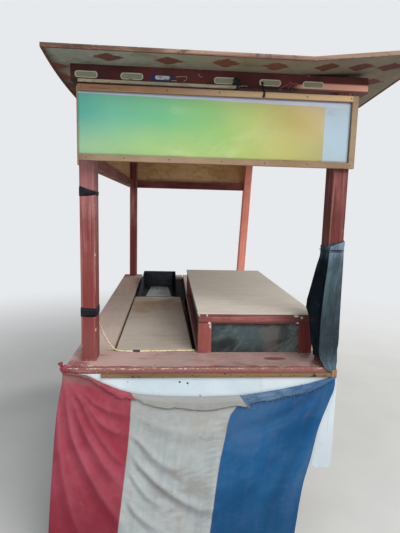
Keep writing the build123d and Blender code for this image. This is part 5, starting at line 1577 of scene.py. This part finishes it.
shape = bmesh.new()
knotAt = fromDeck(0.092, 0.022, 1.104)
lumps = (                                # across, up, radius, squash
    (0, 0.008, 0.012, 0.8),
    (0.008, -0.004, 0.010, 0.7),
    (-0.007, -0.008, 0.009, 0.9),
    (0.002, -0.019, 0.008, 1.5),
)
for dx, dz, size, squash in lumps:
    lump = bmesh.ops.create_icosphere(shape, subdivisions=3, radius=size)
    bmesh.ops.scale(shape, vec=(0.95, 0.55, squash), verts=lump["verts"])
    bmesh.ops.translate(shape, vec=knotAt + Vector((dx, -0.004, dz)), verts=lump["verts"])
for vert in shape.verts:
    vert.co += Vector((sin(520 * vert.co.z), 0.6 * sin(610 * vert.co.x), cos(480 * vert.co.x))) * 0.0011
makePiece(shape, "beam_knot", webLook)

# thin strings stapled along the beam: colour, radius, points from the deck's front middle
strings = {
    "string_pink": ((0.50, 0.17, 0.20), 0.0011, [
        (0.262, 1.094), (0.276, 1.102), (0.291, 1.108), (0.300, 1.120), (0.304, 1.109), (0.318, 1.113),
        (0.330, 1.112)]),
    "string_pink_end": ((0.50, 0.17, 0.20), 0.0010, [(0.300, 1.108), (0.296, 1.096), (0.290, 1.090)]),
    "string_white": ((0.66, 0.60, 0.56), 0.0009, [
        (-0.1320, 1.1155), (-0.1100, 1.1185), (-0.0905, 1.1190), (-0.0920, 1.1100), (-0.0970, 1.1040),
        (-0.1037, 1.1017)]),
    "string_end": ((0.66, 0.60, 0.56), 0.0009, [(-0.1477, 1.1020), (-0.1380, 1.1030), (-0.1285, 1.1016)]),
    "string_mark": ((0.60, 0.50, 0.46), 0.0008, [
        (-0.0477, 1.1317), (-0.0470, 1.1230), (-0.0400, 1.1205), (-0.0329, 1.1190)]),
    "string_knot": ((0.55, 0.50, 0.46), 0.0010, [(0.100, 1.090), (0.118, 1.098), (0.136, 1.094)]),
}
for name, (tint, radius, points) in strings.items():
    f = Finish(name)
    fuzz = f.noise(700, detail=2)
    look = f.finish(f.mix(tuple(c * 0.6 for c in tint), tint, f.rise(fuzz, 0.4, 0.6)), 0.85, fuzz)
    places = [(deckX + x, beamLow.y - radius - 0.0002, deckZ + z) for x, z in points]
    makeCurve(name, places, radius, look)

# wood block that ends the batten under the deck's right corner
block = {
    "low": (0.5265, -0.0125, -0.037),
    "high": (0.5495, -0.0003, -0.007),
    "paint": ((0.17, 0.085, 0.045), (0.36, 0.20, 0.11)),
}
shape = bmesh.new()
bmesh.ops.create_cube(shape, size=1)
low, high = (fromDeck(*block[k]) for k in ("low", "high"))
bmesh.ops.scale(shape, vec=high - low, verts=shape.verts[:])
bmesh.ops.translate(shape, vec=(low + high) / 2, verts=shape.verts[:])
bmesh.ops.bevel(shape, geom=shape.edges[:], offset=0.0012, segments=2, affect="EDGES", profile=0.5,
                material=-1)
f = Finish("block_wood")
grain = f.noise(1, (300, 300, 20), 4)
blockLook = f.finish(f.mix(*block["paint"], f.rise(grain, 0.38, 0.6)), 0.8, grain)
makePiece(shape, "batten_block", blockLook, smooth=False)

# crumbs of filler at the left post's foot
random.seed(11)
shape = bmesh.new()
for i in range(34):
    crumb = bmesh.ops.create_icosphere(shape, subdivisions=2, radius=random.uniform(0.0012, 0.0030))
    squash = (random.uniform(0.8, 1.6), random.uniform(0.8, 1.4), 0.55)
    bmesh.ops.scale(shape, vec=squash, verts=crumb["verts"])
    place = fromDeck(random.uniform(-0.497, -0.436), random.gauss(0.022, 0.007), 0.0006)
    bmesh.ops.translate(shape, vec=place, verts=crumb["verts"])
f = Finish("filler_crumbs")
fuzz = f.noise(160, detail=3)
crumbLook = f.finish(f.mix((0.62, 0.52, 0.47), (0.42, 0.20, 0.18), f.rise(fuzz, 0.44, 0.58)), 0.9, fuzz)
makePiece(shape, "foot_filler", crumbLook)

# nail heads
nail = {"foot": 0.0029, "top": 0.0021, "high": 0.0009, "out": 0.0004, "stray": 0.004}
random.seed(7)
nailRows = []
battenLow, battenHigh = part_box("front_batten")
for x in (-0.385, -0.215, -0.02, 0.182, 0.370, 0.505):
    nailRows.append((Vector((deckX + x, battenLow.y, (battenLow.z + battenHigh.z) / 2)), (0, -1, 0)))
for x in (-0.47, -0.33, -0.16, 0.03, 0.20, 0.36, 0.53):
    nailRows.append((Vector((deckX + x, signLow.y, signHigh.z - 0.010)), (0, -1, 0)))
    nailRows.append((Vector((deckX + x + 0.012, signLow.y, signLow.z + 0.011)), (0, -1, 0)))
for x in (-0.50, -0.20, 0.11, 0.33, 0.50):
    nailRows.append((Vector((deckX + x, deckFront + 0.030, deckZ)), (0, 0, 1)))
    nailRows.append((Vector((deckX + x + 0.01, deckFront + 0.168, deckZ)), (0, 0, 1)))
for name in ("left_plank", "right_plank", "back_plank"):
    low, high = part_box(name)
    for x in (low.x + 0.025, high.x - 0.025):
        for share in (0.02, 0.34, 0.66, 0.98):
            nailRows.append((Vector((x, low.y + (high.y - low.y) * share, deckZ)), (0, 0, 1)))
shape = bmesh.new()
for place, facing in nailRows:
    head = bmesh.ops.create_cone(shape, cap_ends=True, segments=10, radius1=nail["foot"], radius2=nail["top"],
                                 depth=nail["high"])
    aim = Vector(facing).to_track_quat("Z", "Y").to_matrix().to_4x4()
    jitter = Vector((random.uniform(-nail["stray"], nail["stray"]), 0, 0))
    driven = Matrix.Translation(place + jitter + Vector(facing) * nail["out"]) @ aim
    bmesh.ops.transform(shape, matrix=driven, verts=head["verts"])
nailLook = steel("nail_iron", (0.11, 0.10, 0.095), (0.14, 0.065, 0.035), 0.55, 0.7, 300)
makePiece(shape, "nail_heads", nailLook, smooth=False)
print("small things done")

# floor, light and world
stageLook = {
    "floor": (0.60, 0.60, 0.59),
    "grit": (0.56, 0.56, 0.55),
    "back": (0.80, 0.82, 0.84),
    "size": 14.0,
    "fade": (1.6, 5.5),
    "sky": (0.92, 0.96, 1.0),
    "skyLight": 0.42,
}
shape = bmesh.new()
bmesh.ops.create_grid(shape, x_segments=1, y_segments=1, size=stageLook["size"])
mesh = bpy.data.meshes.new("floor")
shape.to_mesh(mesh)
shape.free()
floor = bpy.data.objects.new("floor", mesh)
bpy.context.scene.collection.objects.link(floor)
f = Finish("floor_plain")
grit = f.noise(2.0, detail=5)
f.finish(f.mix(stageLook["grit"], stageLook["floor"], f.rise(grit, 0.3, 0.7)), 0.9)
away = f.node("ShaderNodeVectorMath", {"operation": "LENGTH"}, {0: f.place}, 1)
faint = f.rise(away, *stageLook["fade"]) * f.node("ShaderNodeLightPath")
glow = f.node("ShaderNodeEmission", {}, {"Color": stageLook["back"]})
melt = f.node("ShaderNodeMixShader", {}, {0: faint, 1: Value(f, f.shader.outputs[0]), 2: glow})
f.tree.links.new(melt.socket, f.tree.nodes["Material Output"].inputs[0])
mesh.materials.append(f.material)

lamps = {                                # place, aim, size, power, colour
    "key": ((1.7, -4.3, 4.5), (0, -0.4, 1.0), 3.6, 250, (1.0, 0.985, 0.96)),
    "fill": ((-3.0, -3.8, 2.2), (0, -0.3, 1.0), 3.0, 40, (0.95, 0.98, 1.0)),
    "back": ((3.2, 3.6, 3.4), (0, 0.2, 1.2), 2.2, 130, (1.0, 0.97, 0.92)),
}
for name, (place, aim, size, power, tint) in lamps.items():
    data = bpy.data.lights.new(name, "AREA")
    data.shape = "DISK"
    data.size = size
    data.energy = power
    data.color = tint
    lamp = bpy.data.objects.new(name, data)
    turn = (Vector(aim) - Vector(place)).to_track_quat("-Z", "Y")
    lamp.matrix_world = Matrix.Translation(place) @ turn.to_matrix().to_4x4()
    bpy.context.scene.collection.objects.link(lamp)

world = bpy.data.worlds.new("world")
world.use_nodes = True
bpy.context.scene.world = world
tree = world.node_tree
tree.nodes.clear()
path = tree.nodes.new("ShaderNodeLightPath")
seen = tree.nodes.new("ShaderNodeMath")
seen.operation = "MAXIMUM"
tree.links.new(path.outputs["Is Camera Ray"], seen.inputs[0])
tree.links.new(path.outputs["Is Transmission Ray"], seen.inputs[1])
lit = tree.nodes.new("ShaderNodeBackground")
lit.inputs["Color"].default_value = (*stageLook["sky"], 1)
lit.inputs["Strength"].default_value = stageLook["skyLight"]
shown = tree.nodes.new("ShaderNodeBackground")
shown.inputs["Color"].default_value = (*stageLook["back"], 1)
shown.inputs["Strength"].default_value = 1.0
either = tree.nodes.new("ShaderNodeMixShader")
tree.links.new(seen.outputs[0], either.inputs[0])
tree.links.new(lit.outputs[0], either.inputs[1])
tree.links.new(shown.outputs[0], either.inputs[2])
end = tree.nodes.new("ShaderNodeOutputWorld")
tree.links.new(either.outputs[0], end.inputs[0])
bpy.context.scene.view_settings.view_transform = "Standard"
print("light and floor set")
